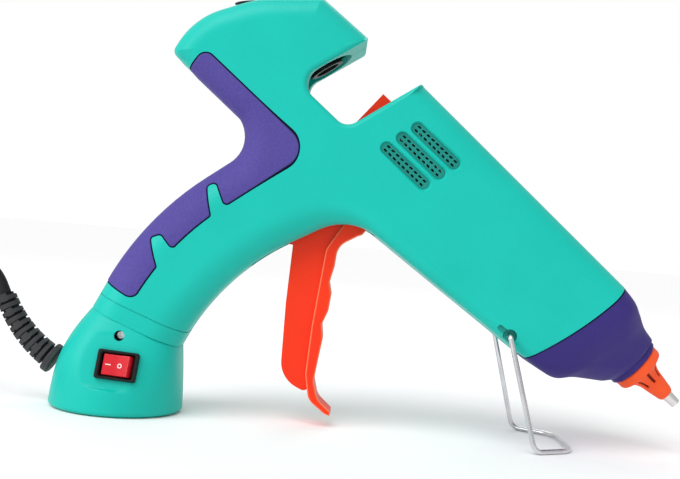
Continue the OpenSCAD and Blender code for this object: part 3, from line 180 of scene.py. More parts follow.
def loft(rings, closed=True):
    """Surface through rings of equally many points, capped at both ends where it is closed."""
    rings = np.asarray(rings)
    k, m = rings.shape[:2]
    faces = grid_faces(k, m)
    if closed:
        faces += [list(range(m)), list(range((k - 1) * m, k * m))]
    return rings.reshape(-1, 3), faces


def plate(poly, y0, y1, rim=0.0, steps=4):
    """Plate of an outline between y0 and y1. A rim rounds both edges: at angle a the outline moves in
    by rim(1 - cos a), at the depth rim(1 - sin a) below the face."""
    a = np.radians(np.linspace(0, 90, steps + 1)) if rim else np.zeros(1)
    off, low = rim * (1 - np.cos(a)), rim * (1 - np.sin(a))
    rings = [in_depth(inset(poly, o), y0 + d) for o, d in zip(off[::-1], low[::-1])]
    rings += [in_depth(inset(poly, o), y1 - d) for o, d in zip(off, low)]
    return loft(rings)


def circle(c, r, n=40):
    return np.asarray(c) + r * heading(around(n))


def rod_y(p, r, y0, y1, n=40):
    """Round rod across the housing."""
    return plate(circle(p, r, n), y0, y1)


def bar_corners(x, y):
    """Corners of an oblong by its half sizes."""
    return np.array([(-x, -y), (x, -y), (x, y), (-x, y)])


def slab(s0, s1, h0, h1, y0, y1):
    """Block between two places on the stick line, two heights over it and two depths."""
    return plate(at([s0, s1, s1, s0], [h0, h0, h1, h1]), y0, y1)


def line_rings(s, r, n=48):
    """Rings round the stick line: radius r at each place s."""
    a = around(n)
    s, r = np.broadcast_arrays(np.asarray(s, float)[:, None], np.asarray(r, float).reshape(len(s), -1))
    return in_depth(at(s + 0 * a, r * np.sin(a)), r * np.cos(a))


def path_frames(p):
    """Headings of a path and two sides at right angles, carried along without twist."""
    d = np.gradient(p, axis=0)
    d /= np.linalg.norm(d, axis=1)[:, None]
    side = np.empty_like(d)
    v = np.array([0.0, 0.0, 1.0]) if abs(d[0, 2]) < 0.9 else np.array([1.0, 0.0, 0.0])
    for i in range(len(d)):
        v = unit(v - d[i] * (v @ d[i]))
        side[i] = v
    return d, side, np.cross(d, side)


def tube(p, r, n):
    """Round profile carried along a path."""
    d, u, w = path_frames(p)
    a = around(n)
    ring = u[:, None] * np.cos(a)[:, None] + w[:, None] * np.sin(a)[:, None]
    return loft(p[:, None] + ring * r)


def soft_path(corners, n=10):
    """Path through corners, each a point and the radius of its bend."""
    rows = []
    p = [np.array(c[0], float) for c in corners]
    for i, (_, r) in enumerate(corners):
        if r <= 0:
            rows.append(p[i][None])
            continue
        da, db = unit(p[i] - p[i - 1]), unit(p[i + 1] - p[i])
        t = math.acos(np.clip(da @ db, -1, 1))
        c = p[i] + unit(db - da) * r / math.cos(t / 2)
        w = p[i] - da * r * math.tan(t / 2) - c
        q = (t * np.arange(n + 1) / n)[:, None]
        rows.append(w * np.cos(q) + da * r * np.sin(q) + c)
    return np.concatenate(rows)


def through(p, k):
    """Smooth curve through points, k steps for each stretch: cubic with the mean heading at each point."""
    p = np.asarray(p, float)
    a, b, c, d = p[:-3], p[1:-2], p[2:-1], p[3:]
    t = (np.arange(k) / k)[:, None, None]
    q = (b * 2 + (c - a) * t + (a * 2 - b * 5 + c * 4 - d) * t**2 + (b * 3 - a - c * 3 + d) * t**3) / 2
    return np.vstack([q.transpose(1, 0, 2).reshape(-1, p.shape[1]), p[-2:-1]])


def moved(shape, matrix):
    """Shape turned and moved by a 4 by 4 matrix."""
    points = np.asarray(shape[0])
    return points @ matrix[:3, :3].T + matrix[:3, 3], shape[1]


def join(*shapes):
    """Several shapes as one."""
    points, faces, n = [], [], 0
    for p, f in shapes:
        points.append(np.asarray(p))
        faces += [[i + n for i in face] for face in f]
        n += len(p)
    return np.concatenate(points), faces


# Meshes
def new_object(name, shape, finish=None):
    """Object at the origin from points and faces, with its faces turned outwards."""
    me = bpy.data.meshes.new(name)
    me.from_pydata((np.asarray(shape[0]) * MM).tolist(), [], shape[1])
    bm = bmesh.new()
    bm.from_mesh(me)
    bmesh.ops.recalc_face_normals(bm, faces=bm.faces)
    bm.to_mesh(me)
    bm.free()
    if finish:
        me.materials.append(finish)
    obj = bpy.data.objects.new(name, me)
    bpy.context.scene.collection.objects.link(obj)
    return obj


def settle(obj):
    """Puts the result of an object's modifiers into its mesh."""
    bpy.context.view_layer.update()
    done = bpy.data.meshes.new_from_object(obj.evaluated_get(bpy.context.evaluated_depsgraph_get()))
    obj.modifiers.clear()
    obj.data = done


def carve(obj, *cutters, operation="DIFFERENCE"):
    """Cuts solids out of an object, or joins them to it. Each cutter's own finish stays on its faces."""
    tools = [new_object("tool", shape, finish) for shape, finish in cutters]
    for tool in tools:
        mod = obj.modifiers.new("carve", "BOOLEAN")
        mod.object, mod.operation, mod.solver = tool, operation, "EXACT"
        mod.material_mode = "TRANSFER"
    settle(obj)
    for tool in tools:
        bpy.data.objects.remove(tool)
    return obj


def weld(obj, gap=1e-7):
    """Makes points that lie together one, and turns the faces outwards again."""
    bm = bmesh.new()
    bm.from_mesh(obj.data)
    bmesh.ops.remove_doubles(bm, verts=bm.verts, dist=gap)
    bmesh.ops.recalc_face_normals(bm, faces=bm.faces)
    bm.to_mesh(obj.data)
    bm.free()


def mark_groove(obj, share):
    """Attribute that is 1 in a groove and 0 on the open surface: the finish paints shade where it is 1."""
    values = obj.data.attributes.new("groove", "FLOAT", "POINT").data
    values.foreach_set("value", np.asarray(share, np.float32).ravel())


def mirrored(obj, name):
    """Copy on the other side of the middle plane, with its faces turned outwards again."""
    me = obj.data.copy()
    me.transform(Matrix.Scale(-1, 4, (0, 1, 0)))
    me.flip_normals()
    other = bpy.data.objects.new(name, me)
    bpy.context.scene.collection.objects.link(other)
    return other


def dress(obj, body, slot, *nodes, sharp=32.0):
    """Smooth shading up to an angle, then the body it rides with and the nodes it stands for, which are hidden.
    The material slot is not used.
    """
    obj.data.shade_smooth()
    obj.data.set_sharp_from_angle(angle=math.radians(sharp))
    even = obj.modifiers.new("even", "WEIGHTED_NORMAL")
    even.mode, even.keep_sharp, even.weight = "FACE_AREA", True, 80
    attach(obj, body)
    if nodes:
        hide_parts(*nodes)
    return obj


# Finishes
# Waves per metre of the noises: slow drift of shade, speckle, rubbed streaks, tool marks and tarnish
DRIFT, SPECKLE, RUBS, TOOL_MARKS, TARNISH = 22.0, 900.0, 130.0, 1500.0, 70.0


def linear(colour):
    """Screen colour as linear light."""
    c = np.array(colour) / 255
    return tuple(np.where(c <= 0.04045, c / 12.92, ((c + 0.055) / 1.055) ** 2.4)) + (1.0,)


class Number:
    """A number on a shader socket: each operator adds a Math node to its tree."""

    def __init__(self, tree, socket):
        self.tree, self.socket = tree, socket

    def math(self, operation, *values):
        node = self.tree.nodes.new("ShaderNodeMath")
        node.operation = operation
        for slot, value in zip(node.inputs, values):
            if isinstance(value, Number):
                self.tree.links.new(value.socket, slot)
            else:
                slot.default_value = value
        return Number(self.tree, node.outputs[0])

    def __add__(self, other):
        return self.math("ADD", self, other)

    def __sub__(self, other):
        return self.math("SUBTRACT", self, other)

    def __mul__(self, other):
        return self.math("MULTIPLY", self, other)

    def over(self, low, high):
        """0 below low, 1 above high, with an even rise between."""
        rise = (self - low) * (1 / (high - low))
        return rise.math("MINIMUM", rise.math("MAXIMUM", rise, 0.0), 1.0)


class Finish:
    """A material under way. node() adds any node: its settings first, then values or links of its sockets."""

    def __init__(self, name):
        self.material = bpy.data.materials.new(name)
        self.material.use_nodes = True
        self.tree = self.material.node_tree
        self.tree.nodes.clear()
        self.place = self.node("TexCoord", output="Object")

    def node(self, kind, settings=(), sockets=(), output=0):
        node = self.tree.nodes.new("ShaderNode" + kind)
        for key, value in dict(settings).items():
            setattr(node, key, value)
        for key, value in dict(sockets).items():
            if isinstance(value, Number):
                self.tree.links.new(value.socket, node.inputs[key])
            else:
                node.inputs[key].default_value = value
        return Number(self.tree, node.outputs[output])

    def noise(self, scale, detail=2.0, stretch=None):
        """Cloudy number about 0.5; scale is waves per metre, and stretch squeezes it along the axes."""
        place = self.place
        if stretch:
            place = self.node("Mapping", {}, {"Vector": place, "Scale": stretch})
        return self.node("TexNoise", {}, {"Vector": place, "Scale": scale, "Detail": detail})

    def mix(self, share, a, b):
        """Colour between a and b, each a screen colour or a mix."""
        a, b = (c if isinstance(c, Number) else linear(c) for c in (a, b))
        return self.node("Mix", {"data_type": "RGBA"}, {0: share, 6: a, 7: b}, 2)

    def bump(self, height, strength, distance):
        return self.node("Bump", {}, {"Strength": strength, "Distance": distance, "Height": height})

    def surface(self, sockets):
        shader = self.node("BsdfPrincipled", {}, sockets)
        out = self.tree.nodes.new("ShaderNodeOutputMaterial")
        self.tree.links.new(shader.socket, out.inputs["Surface"])
        return self.material


def moulded(name, colour, deep, rough, grain=0.12, grain_scale=2400.0, spread=0.1, coat=0.0, edge=None,
            rim=None, fleck=0.2):
    """Moulded plastic or rubber. The colour drifts between two shades over some centimetres, with a share of
    speckle, roughness changes in patches and along rubbed streaks, and fine erosion grain is bump. An edge
    colour paints shade where the piece's groove attribute is 1, and a rim colour paints a highlight between two
    distances from the middle plane."""
    f = Finish(name)
    drift = f.noise(DRIFT, 3.0)
    speckle = f.noise(SPECKLE, 2.0)
    rubs = f.noise(RUBS, 4.0, (1.0, 1.0, 0.25)).over(0.56, 0.74)
    fine = f.noise(grain_scale, 2.0)
    tone = f.mix(drift.over(0.3, 0.7) * (1 - fleck) + speckle.over(0.3, 0.7) * fleck, colour, deep)
    # Painted shade: the edge colour darkens the piece where its groove attribute is 1.
    if edge:
        groove = f.node("Attribute", {"attribute_name": "groove"}, {}, "Fac")
        tone = f.mix(groove.over(0.15, 0.85), tone, edge)
    # Painted highlight: the rim colour lightens a band between two distances from the middle plane.
    if rim:
        depth = f.node("SeparateXYZ", {}, {"Vector": f.place}, "Y")
        depth = depth.math("ABSOLUTE", depth)
        tone = f.mix(depth.over(rim[0], rim[0] + 0.0003) - depth.over(rim[1], rim[1] + 0.0002), tone, rim[2])
    return f.surface({
        "Base Color": tone,
        "Roughness": (drift - 0.5) * spread + rubs * (-0.5 * spread) + (speckle - 0.5) * spread + rough,
        "Normal": f.bump(fine * 0.7 + speckle * 0.3, grain, 0.0002),
        "Specular IOR Level": 0.22,
        "Coat Weight": coat,
        "Coat Roughness": 0.2,
    })


def metal(name, colour, deep, rough):
    """Bare metal. Slow tarnish changes tone and roughness, and fine tool marks change roughness and bump."""
    f = Finish(name)
    marks = f.noise(TOOL_MARKS, 3.0)
    tarnish = f.noise(TARNISH, 4.0)
    return f.surface({
        "Base Color": f.mix(tarnish.over(0.35, 0.75), colour, deep),
        "Metallic": 1.0,
        "Roughness": marks * 0.16 + tarnish * 0.12 + (rough - 0.14),
        "Normal": f.bump(marks, 0.12, 0.0001),
    })


TURQUOISE = moulded("turquoise_plastic", (15, 190, 176), (11, 181, 166), 0.42)
# Painted shade: a darker turquoise on the floors and walls of slots, windows, wells and tracks.
RECESS_SHADE_TEAL = moulded("turquoise_painted_recess_shade", (24, 150, 138), (16, 118, 108), 0.5)
# Painted shade: dark navy on the walls and floor of the pocket round the grip.
POCKET_SHADE_NAVY = moulded("grip_pocket_painted_shade", (14, 22, 62), (10, 14, 44), 0.7)
# Painted shade: the edge colour darkens the grip's edge next to the gap round it.
PURPLE_GRIP = moulded("purple_rubber", (84, 73, 150), (72, 61, 138), 0.66, 0.8, 1500.0, 0.14,
                      edge=(20, 22, 70), fleck=0.6)
# Painted shade: its edge colour darkens the recessed lip at the nose seam.
PURPLE_NOSE = moulded("purple_plastic", (54, 42, 118), (47, 36, 107), 0.55, 0.22, 2000.0, 0.12,
                      edge=(14, 12, 48))
ORANGE = moulded("orange_plastic", (245, 56, 19), (237, 48, 15), 0.4)
# Painted highlight: a lighter orange on the trigger strip's rounded rims, 8.3 to 9.1 mm from the middle plane.
LEVER_PAINTED_HIGHLIGHT = moulded("orange_lever_painted_highlight", (245, 56, 19), (237, 48, 15), 0.4, rim=(0.0083, 0.0091, (255, 132, 92)))
# Painted shade: its edge colour darkens the grooves of the nozzle cover.
SILICONE = moulded("orange_silicone", (248, 92, 42), (240, 82, 35), 0.5, 0.15, 1800.0, edge=(120, 26, 12))
RED = moulded("red_plastic", (214, 34, 48), (200, 22, 36), 0.3, 0.05, coat=0.3)
MARKS = moulded("white_marks", (244, 226, 226), (232, 206, 208), 0.5, 0.05)
BLACK = moulded("black_plastic", (24, 30, 30), (14, 18, 18), 0.45, 0.2)
# Painted shade: its edge colour darkens the slots between the ribs of the strain relief.
RUBBER = moulded("black_rubber", (66, 66, 68), (48, 48, 50), 0.55, 0.25, 1500.0, 0.14, edge=(8, 8, 9))
CORD = moulded("cord_rubber", (34, 34, 36), (24, 24, 26), 0.5, 0.15, 1300.0)
STEEL = metal("bright_wire", (226, 226, 228), (190, 190, 194), 0.26)
SCREW = metal("screw_steel", (214, 216, 218), (170, 172, 176), 0.32)
BRASS = metal("brass", (220, 186, 112), (186, 150, 84), 0.34)
ALUMINIUM = metal("turned_aluminium", (236, 236, 234), (208, 208, 206), 0.36)

# Camera, as far off and as rolled as the photograph has it
CAMERA_AT = Vector((0.1047, -0.520, 0.0929))
ROLL = math.radians(4.9)
FOCAL_PX, FRAME_PX, SENSOR = 1040.0, 680.0, 36.0


def set_camera():
    data = bpy.data.cameras.new("camera")
    data.sensor_width, data.lens = SENSOR, SENSOR * FOCAL_PX / FRAME_PX
    data.clip_start, data.clip_end = 0.01, 50
    camera = bpy.data.objects.new("camera", data)
    camera.matrix_world = Matrix((
        (math.cos(ROLL), -math.sin(ROLL), 0, CAMERA_AT.x),
        (0, 0, -1, CAMERA_AT.y),
        (math.sin(ROLL), math.cos(ROLL), 0, CAMERA_AT.z),
        (0, 0, 0, 1),
    ))
    bpy.context.scene.collection.objects.link(camera)
    bpy.context.scene.camera = camera


set_camera()

# Strain relief: its root in the cup, its first slope and its turn in degrees, its length, the flange's radius
# by length, the radius of the core and over the ribs by length, and the ribs
RELIEF_P = np.array([-29.6, 19.6])
RELIEF_A, RELIEF_TURN, RELIEF_LEN = 27.0, 40.0, 45.0
RELIEF_BEND = RELIEF_LEN / math.radians(RELIEF_TURN)
FLANGE_U, FLANGE_R = (2.4, 2.9, 3.3, 5.8, 6.3, 6.6, 6.8), (6.6, 7.4, 7.7, 7.7, 7.3, 5.4, 4.4)
SLEEVE_U, CORE_R, OVER_RIBS_R = (0, 7, RELIEF_LEN), (4.9, 4.9, 3.9), (6.3, 6.25, 5.0)
SLEEVE_FROM = 6.9
RIBS, RIB_PITCH, RIB_START, RIB_SHARE, RIB_SOFT = 10, 3.7, 7.6, 0.76, 0.1
BRIDGE_HALF = 0.42


def relief_at(u):
    """Middle line of the relief, an arc that turns upwards, and its heading."""
    q = np.radians(RELIEF_A + RELIEF_TURN * np.asarray(u, float) / RELIEF_LEN)
    a = math.radians(RELIEF_A)
    x = RELIEF_P[0] - RELIEF_BEND * (np.sin(q) - math.sin(a))
    z = RELIEF_P[1] + RELIEF_BEND * (math.cos(a) - np.cos(q))
    zero = np.zeros_like(x)
    return np.stack([x, zero, z], -1), np.stack([-np.cos(q), zero, np.sin(q)], -1)


def strain_relief():
    """Radius over length u and angle: a flange, then ribs. Between two ribs lies a pair of slots down to the
    core, and each pair is a quarter turn on from the last; bridges between the slots join the ribs."""
    u = np.concatenate([np.arange(FLANGE_U[0], SLEEVE_FROM, 0.15),
                        np.arange(SLEEVE_FROM, RELIEF_LEN + 0.01, 0.2)])
    a = around(96)
    core, outer = np.interp(u, SLEEVE_U, CORE_R), np.interp(u, SLEEVE_U, OVER_RIBS_R)
    flange = np.interp(u, FLANGE_U, FLANGE_R)
    on_flange = (u < FLANGE_U[-1])[:, None]
    step = (u - RIB_START) / RIB_PITCH
    row = np.clip(np.floor(step), 0, RIBS - 1)
    share = step - row
    rib = ease(share / RIB_SOFT) * ease((RIB_SHARE - share) / RIB_SOFT) * (step > 0)
    quarter = (np.pi / 2) * (row % 2)
    bridge = ease((BRIDGE_HALF - np.abs(np.cos(a - quarter[:, None]))) / RIB_SOFT) * (step > 0)[:, None]
    rise = np.maximum(rib[:, None], bridge)
    r = np.where(on_flange, flange[:, None], core[:, None] + (outer - core)[:, None] * rise)
    p, d = relief_at(u)
    up = np.cross(d, [0, 1, 0])
    ring = np.array([0, 1, 0]) * np.cos(a)[:, None] + up[:, None] * np.sin(a)[:, None]
    obj = new_object("relief_sleeve", loft(p[:, None] + ring * r[..., None]), RUBBER)
    # Painted shade: the slots between the ribs are coloured darker.
    mark_groove(obj, np.where(on_flange, 0, 1 - rise))
    dress(obj, HOUSING, "black_rubber", "strain_relief", sharp=50)


strain_relief()

# Mains lead: the same route as the solids. It leaves the relief, arches down to the table, winds in on the
# lower layer of the coil, climbs, winds out on the upper layer, climbs again and turns in over the coil to the
# plug. LAY is the step from loop to loop.
LAY, COIL_R = 6.6, 34.5
COIL_C = np.array([-141.0, 22.0])
COIL_TURNS, COIL_MID, COIL_LOW = 2.625, 2.875, 3.85
COIL_END, COIL_STEPS = 2 * COIL_MID, 24
TAIL_R, TAIL_RUN, PLUG_Z = 28.0, 8.0, 21.5
FROM_RELIEF = [(-5, -0.4, 9.1), (-13, -1.6, 15.8), (-22.9, -3.4, 18.9), (-33.2, -5.7, 17.9),
               (-42.4, -8.3, 13.1), (-49.1, -11, 5.2), (-52.8, -13.4, -4.4), (-53.9, -15.5, -14.6)]
TO_COIL = [(27.2, 4.2, 23.4), (24.4, 2.9, 14.8), (18.4, 1.4, 7.1), (9.6, 0.4, 1.75)]


def coil_at(t):
    """Point of the coil after t turns."""
    r = COIL_R + LAY * COIL_MID / 2 - LAY * (COIL_MID - np.abs(t - COIL_MID))
    a = np.radians(-90 - 360 * t)
    z = COIL_LOW + LAY * (ease((t - COIL_TURNS) * 2) + ease((t - COIL_END) * 2 + 1))
    return np.stack([COIL_C[0] + r * np.cos(a), COIL_C[1] + r * np.sin(a), z], -1)


def lead_tail(start):
    """Quarter turn from the coil's end and a short run, rising to the plug."""
    q = np.radians(np.append(np.arange(1, 7) * 15.0, 90))
    run = np.array([0, 0, 0, 0, 0, 0, TAIL_RUN])
    share = (TAIL_R * q + run) / (TAIL_R * np.pi / 2 + TAIL_RUN)
    rise = (PLUG_Z - start[2]) * ease(share)
    return start + np.stack([-TAIL_R * (1 - np.cos(q)) - run, -TAIL_R * np.sin(q), rise], -1)


def mains_lead():
    """Round cord along a smooth curve through the route, the coil and the tail."""
    tip, tip_d = (v[0] for v in relief_at(np.array([RELIEF_LEN])))
    coil = coil_at(np.arange(0, COIL_END * COIL_STEPS + 0.5) / COIL_STEPS)
    coil_d = unit(coil[0] - coil_at(np.array(0.004)))
    route = np.vstack([tip - tip_d * 10, tip, tip + FROM_RELIEF,
                       coil[0] + TO_COIL, coil[0], coil[0] - coil_d * 10])
    lead = np.vstack([through(route, 3)[:-1], coil, lead_tail(coil[-1])])
    lead = through(np.vstack([lead[:1] - tip_d * 3, lead, lead[-1:] - [6, 0, 0]]), 4)
    cord = new_object("mains_lead", tube(lead, CORD_R, 20), CORD)
    dress(cord, HOUSING, "black_rubber", "cord", "cord_coil", "cord_end", sharp=60)


mains_lead()

# Cup seam: its middle, heading and normal, and its ends at the heel and the toe of the handle
seam_c = np.array([8.2, 41.8])
seam_e = np.array([math.cos(SEAM_TILT), -math.sin(SEAM_TILT)])
seam_n = np.array([math.sin(SEAM_TILT), math.cos(SEAM_TILT)])
heel, toe = seam_c - seam_e * SEAM_HALF, seam_c + seam_e * SEAM_HALF
back_bend, front_bend = heel + [21.9, 45.7], toe + [16.0, 36.2]
BACK_BEND_R, CROTCH_R = 150.0, 15.0

# Nose seam: place and height of its upper and lower ends, and how far it bows towards the nose. After it, the
# parting face between the halves
NOSE_T, NOSE_B = TIP_S - NOSE_LEN + 2.9, TIP_S - NOSE_LEN - 9.3
NOSE_TOP_H, NOSE_LOW_H = TOP_H - 3.3, -36.6
SEAM_BOW = 2.6
PARTING_Y, PARTING_BEVEL = 0.02, 0.22

# Housing outline: each corner's point, its radius, the edge rounding of the edge that follows, and whether
# that edge is left open. Some corners have names, by their row.
BACK, CROTCH, HUMP_HEEL, NOSE_UPPER, NOSE_LOWER = 1, 2, 3, 11, 12
OUT = [
    (heel, 0.4, ROUND_HANDLE, 0),
    (back_bend, BACK_BEND_R, ROUND_HANDLE, 0),
    (at(-30.4, -HUMP_H), CROTCH_R, ROUND_BACK, 0),
    (at(-92.7, -HUMP_H), 4, ROUND_TOP, 0),
    (at(-96.6, -28.1), 38, ROUND_TOP, 0),
    (at(-80, 0.7), 60, ROUND_TOP, 0),
    (at(-57.5, TOP_H - 2.4), 4, ROUND_TOP, 0),
    (at(-26.4, TOP_H - 1.5), 2, ROUND_NOTCH, 0),
    (at(-38.2, -NOTCH_H), 8.2, ROUND_NOTCH, 0),
    (at(-5.1, -NOTCH_H), 7.5, ROUND_NOTCH, 0),
    (at(6.75, TOP_H), 2, ROUND_TOP, 0),
    (at(NOSE_T, NOSE_TOP_H), 0.4, 0, 1),
    (at(NOSE_B, NOSE_LOW_H), 0.4, ROUND_LOW, 0),
    (at(25.3, -44.9), 26, ROUND_HANDLE - 2, 0),
    (front_bend, 120, ROUND_HANDLE, 0),
    (toe, 0.4, 0, 1),
]
POINT = np.array([o[0] for o in OUT])
RADIUS, EDGE = np.array([o[1] for o in OUT]), np.array([o[2] for o in OUT], float)
OPEN = np.array([o[3] for o in OUT], bool)
DIRS = np.roll(POINT, -1, 0) - POINT
DIRS /= np.linalg.norm(DIRS, axis=1)[:, None]
PREV = np.roll(np.arange(len(OUT)), 1)
TURNS = np.arctan2(cross(DIRS[PREV], DIRS), (DIRS[PREV] * DIRS).sum(1))
# Each corner's steps, and each outline point's corner and share of the corner's turn
STEPS = np.where(RADIUS < 1, 2, np.maximum(4, np.ceil(np.degrees(np.abs(TURNS)) / 2.5))).astype(int)
CORNER = np.repeat(np.arange(len(OUT)), STEPS + 1)
SHARE = np.concatenate([np.arange(n + 1) / n for n in STEPS])


def outline(off):
    """Rounded outline with each edge moved inwards by its own offset: the corners are where the moved edges
    meet, and each corner's radius shrinks or grows with the offset as far as its edges have room."""
    p, q = POINT + inward(DIRS[PREV]) * off[PREV, None], POINT + inward(DIRS) * off[:, None]
    d, e = DIRS[PREV], DIRS
    meet = p + d * (cross(q - p, e) / cross(d, e))[:, None]
    mean = (off[PREV] + off) / 2
    tan = np.tan(np.abs(TURNS) / 2)
    want = np.maximum(0.3, RADIUS + np.where(TURNS < 0, -mean, mean)) * tan
    span = np.linalg.norm(np.roll(meet, -1, 0) - meet, axis=1)
    both = want + np.roll(want, -1)
    fit = want * np.minimum(1, np.minimum(0.995 * span[PREV] / both[PREV], 0.995 * span / both))
    return np.concatenate([
        arc(meet[i], DIRS[PREV[i]], DIRS[i], fit[i] / tan[i], STEPS[i]) for i in range(len(OUT))
    ])


def bowed(ring):
    """Ring with more points on the nose seam, which bows towards the nose as a parabola of the height."""
    first, i = np.flatnonzero(CORNER == NOSE_UPPER)[[0, -1]]
    x = np.linspace(0, 1, 16)[1:-1, None]
    ring = np.insert(ring, i + 1, ring[i] + (ring[i + 1] - ring[i]) * x, axis=0)
    seam = slice(first, np.flatnonzero(CORNER == NOSE_LOWER)[-1] + len(x) + 1)
    h = (ring[seam, [0, 2]] - MOUTH) @ UP
    v = np.clip((h - NOSE_LOW_H) / (NOSE_TOP_H - NOSE_LOW_H), 0, 1)
    ring[seam, [0, 2]] += (4 * SEAM_BOW * v * (1 - v))[:, None] * AX
    return ring


def housing_ring(t, angle, open_by=0.0):
    """Ring of the half housing, inset by t, at an angle of its rounded edge: 0 is the outline, 90 the side."""
    c, s = math.cos(math.radians(angle)), math.sin(math.radians(angle))
    rr = np.where(OPEN, 0, np.maximum(0.4, EDGE - max(t, 0)))
    xz = outline(np.where(OPEN, -open_by, t) + rr * (1 - c))
    first, last = np.where(OPEN[PREV], rr, rr[PREV]), np.where(OPEN, rr[PREV], rr)
    r = first[CORNER] + (last - first)[CORNER] * SHARE
    return bowed(in_depth(xz, half_w(xz[:, 0]) - t - r * (1 - s)))


def foot_ring(t, y, open_by=0.0):
    """Outline inset by t, at the depth y."""
    return bowed(in_depth(outline(np.where(OPEN, -open_by, t)), y))


def side_ring(d):
    """Ring on the flat side, d past the rounded edge."""
    xz = outline(np.where(OPEN, 0.2 + d, EDGE + d))
    return bowed(in_depth(xz, half_w(xz[:, 0])))


def half_skin():
    """Half housing as a closed skin: the room inside, the parting face with a fine bevel, then the outside."""
    room = [housing_ring(WALL, a, -WALL) for a in (90, 60, 30, 0)] + [foot_ring(WALL, PARTING_Y, -WALL)]
    outside = [foot_ring(PARTING_BEVEL, PARTING_Y), foot_ring(0.0, PARTING_Y + 0.24)]
    outside += [housing_ring(0.0, a) for a in np.linspace(0, 90, 13)] + [side_ring(0.7)]
    return loft(room + outside)


# Grip: its outline lies on the skin, given by the length u along the handle back and the hump underside and
# by the offset from that line as seen from the side
GRIP_W, GRIP_BAND, GRIP_ENDS = 17.6, 12.0, (-35.8, 49.5)
GRIP_END_R, GRIP_CORNER_R, FINGER_R = 4.6, 10.0, 2.4
GRIP_PROUD, GRIP_GAP, POCKET_DEPTH, GRIP_RIM, PARTING_GAP = 0.35, 0.6, 1.1, 0.55, 0.05
# The fingers' corners by length from the back bend and offset, and the radii where they enter the grip
LOW_FINGER = [(-26.5, 31.6), (-6.1, 8.8), (-1.8, 13.0), (-9.6, 31.6)]
HIGH_FINGER = [(25.5, 29.6), (34.8, 4.3), (40.1, 5.2), (35.6, 29.6)]
FINGER_MOUTH_R = (1.6, 1.9)


def back_course():
    """Points along the handle back and the hump underside, and the length, heading and edge rounding there."""
    on_back = np.isin(CORNER, (BACK, CROTCH))
    first = np.arctan2(DIRS[PREV, 1], DIRS[PREV, 0])
    turn = (first[CORNER] + TURNS[CORNER] * SHARE)[on_back]
    edge = np.where(CORNER == CROTCH, EDGE[BACK] + (EDGE[CROTCH] - EDGE[BACK]) * SHARE, EDGE[BACK])[on_back]
    xz = np.vstack([heel, outline(np.zeros(len(OUT)))[on_back], POINT[HUMP_HEEL]])
    return xz, length_along(xz), *(np.concatenate([v[:1], v, v[-1:]]) for v in (turn, edge))


back_xz, back_u, back_turn, back_edge = back_course()


def back_line(u):
    """Point, inward normal and edge rounding of the handle back at length u."""
    p = np.stack([np.interp(u, back_u, back_xz[:, k]) for k in (0, 1)], -1)
    a = np.interp(u, back_u, back_turn)
    return p, inward(heading(a)), np.interp(u, back_u, back_edge)


def on_grip(points):
    """Length and offset of points seen from the side: the nearest place on the handle back."""
    u = np.arange(0, back_u[-1], 0.1)
    gap = np.linalg.norm(np.asarray(points)[:, None] - back_line(u)[0], axis=2)
    near = gap.argmin(1)
    return np.stack([u[near], gap[np.arange(len(near)), near]], -1)


def from_bend(edge, places):
    """Points by length from the back bend along an edge of the outline, and by offset from that edge."""
    return [back_bend + DIRS[edge] * u + inward(DIRS[edge]) * d for u, d in places]


def lip_over_crotch():
    """The grip's inner edge round the crotch: two straight lines joined by a corner of its own radius, met by
    rays from the middle of the crotch arc."""
    n1, n2 = inward(DIRS[BACK]), inward(DIRS[CROTCH])
    far1, far2 = CROTCH_R + GRIP_W, CROTCH_R + GRIP_BAND
    mid = np.linalg.solve(np.array([n1, n2]), [far1 - GRIP_CORNER_R, far2 - GRIP_CORNER_R])
    angle = np.linspace(0, TURNS[CROTCH], 60)
    ray = spun(n1, angle)
    along = ray @ mid
    reach = along + np.sqrt(np.maximum(GRIP_CORNER_R**2 - (mid @ mid - along**2), 0))

    def bearing(v):
        return math.atan2(cross(n1, v), float(n1 @ v))

    a1, a2 = bearing(mid + n1 * GRIP_CORNER_R), bearing(mid + n2 * GRIP_CORNER_R)
    line1 = far1 / np.maximum(ray @ n1, 0.2)
    line2 = far2 / np.maximum(ray @ n2, 0.2)
    far = np.where(angle < a1, line1, np.where(angle > a2, line2, reach))
    start = back_u[np.flatnonzero(np.isclose(back_edge, EDGE[BACK]))[-1]]
    return np.stack([start + CROTCH_R * angle, far - CROTCH_R], -1)


def grip_plan():
    """Closed outline of the grip in length and offset, with the two fingers of the shell cut in."""
    ends = on_grip(from_bend(0, [(GRIP_ENDS[0], 0)]) + [POINT[CROTCH] + DIRS[CROTCH] * GRIP_ENDS[1]])[:, 0]

    def crossing(a, b):
        return a + (b - a) * (GRIP_W - a[1]) / (b[1] - a[1])

    corners = [((ends[0], 0), 0), ((ends[0], GRIP_W), GRIP_END_R)]
    for edge, finger in ((0, LOW_FINGER), (BACK, HIGH_FINGER)):
        q = on_grip(from_bend(edge, finger))
        corners += [(crossing(q[0], q[1]), FINGER_MOUTH_R[0]), (q[1], FINGER_R), (q[2], FINGER_R),
                    (crossing(q[3], q[2]), FINGER_MOUTH_R[1])]
    corners += [(p, 0) for p in lip_over_crotch()]
    corners += [((ends[1], GRIP_BAND), GRIP_END_R), ((ends[1], 0), 0)]
    return soft_poly(corners, 8)


def over_skin(u, offset):
    """Distance over the skin from the middle plane for an offset seen from the side."""
    p, _, r = back_line(u)
    bend = r * np.arccos(np.clip(1 - offset / r, -1, 1))
    return half_w(p[:, 0]) - r + np.where(offset < r, bend, r * np.pi / 2 + offset - r)


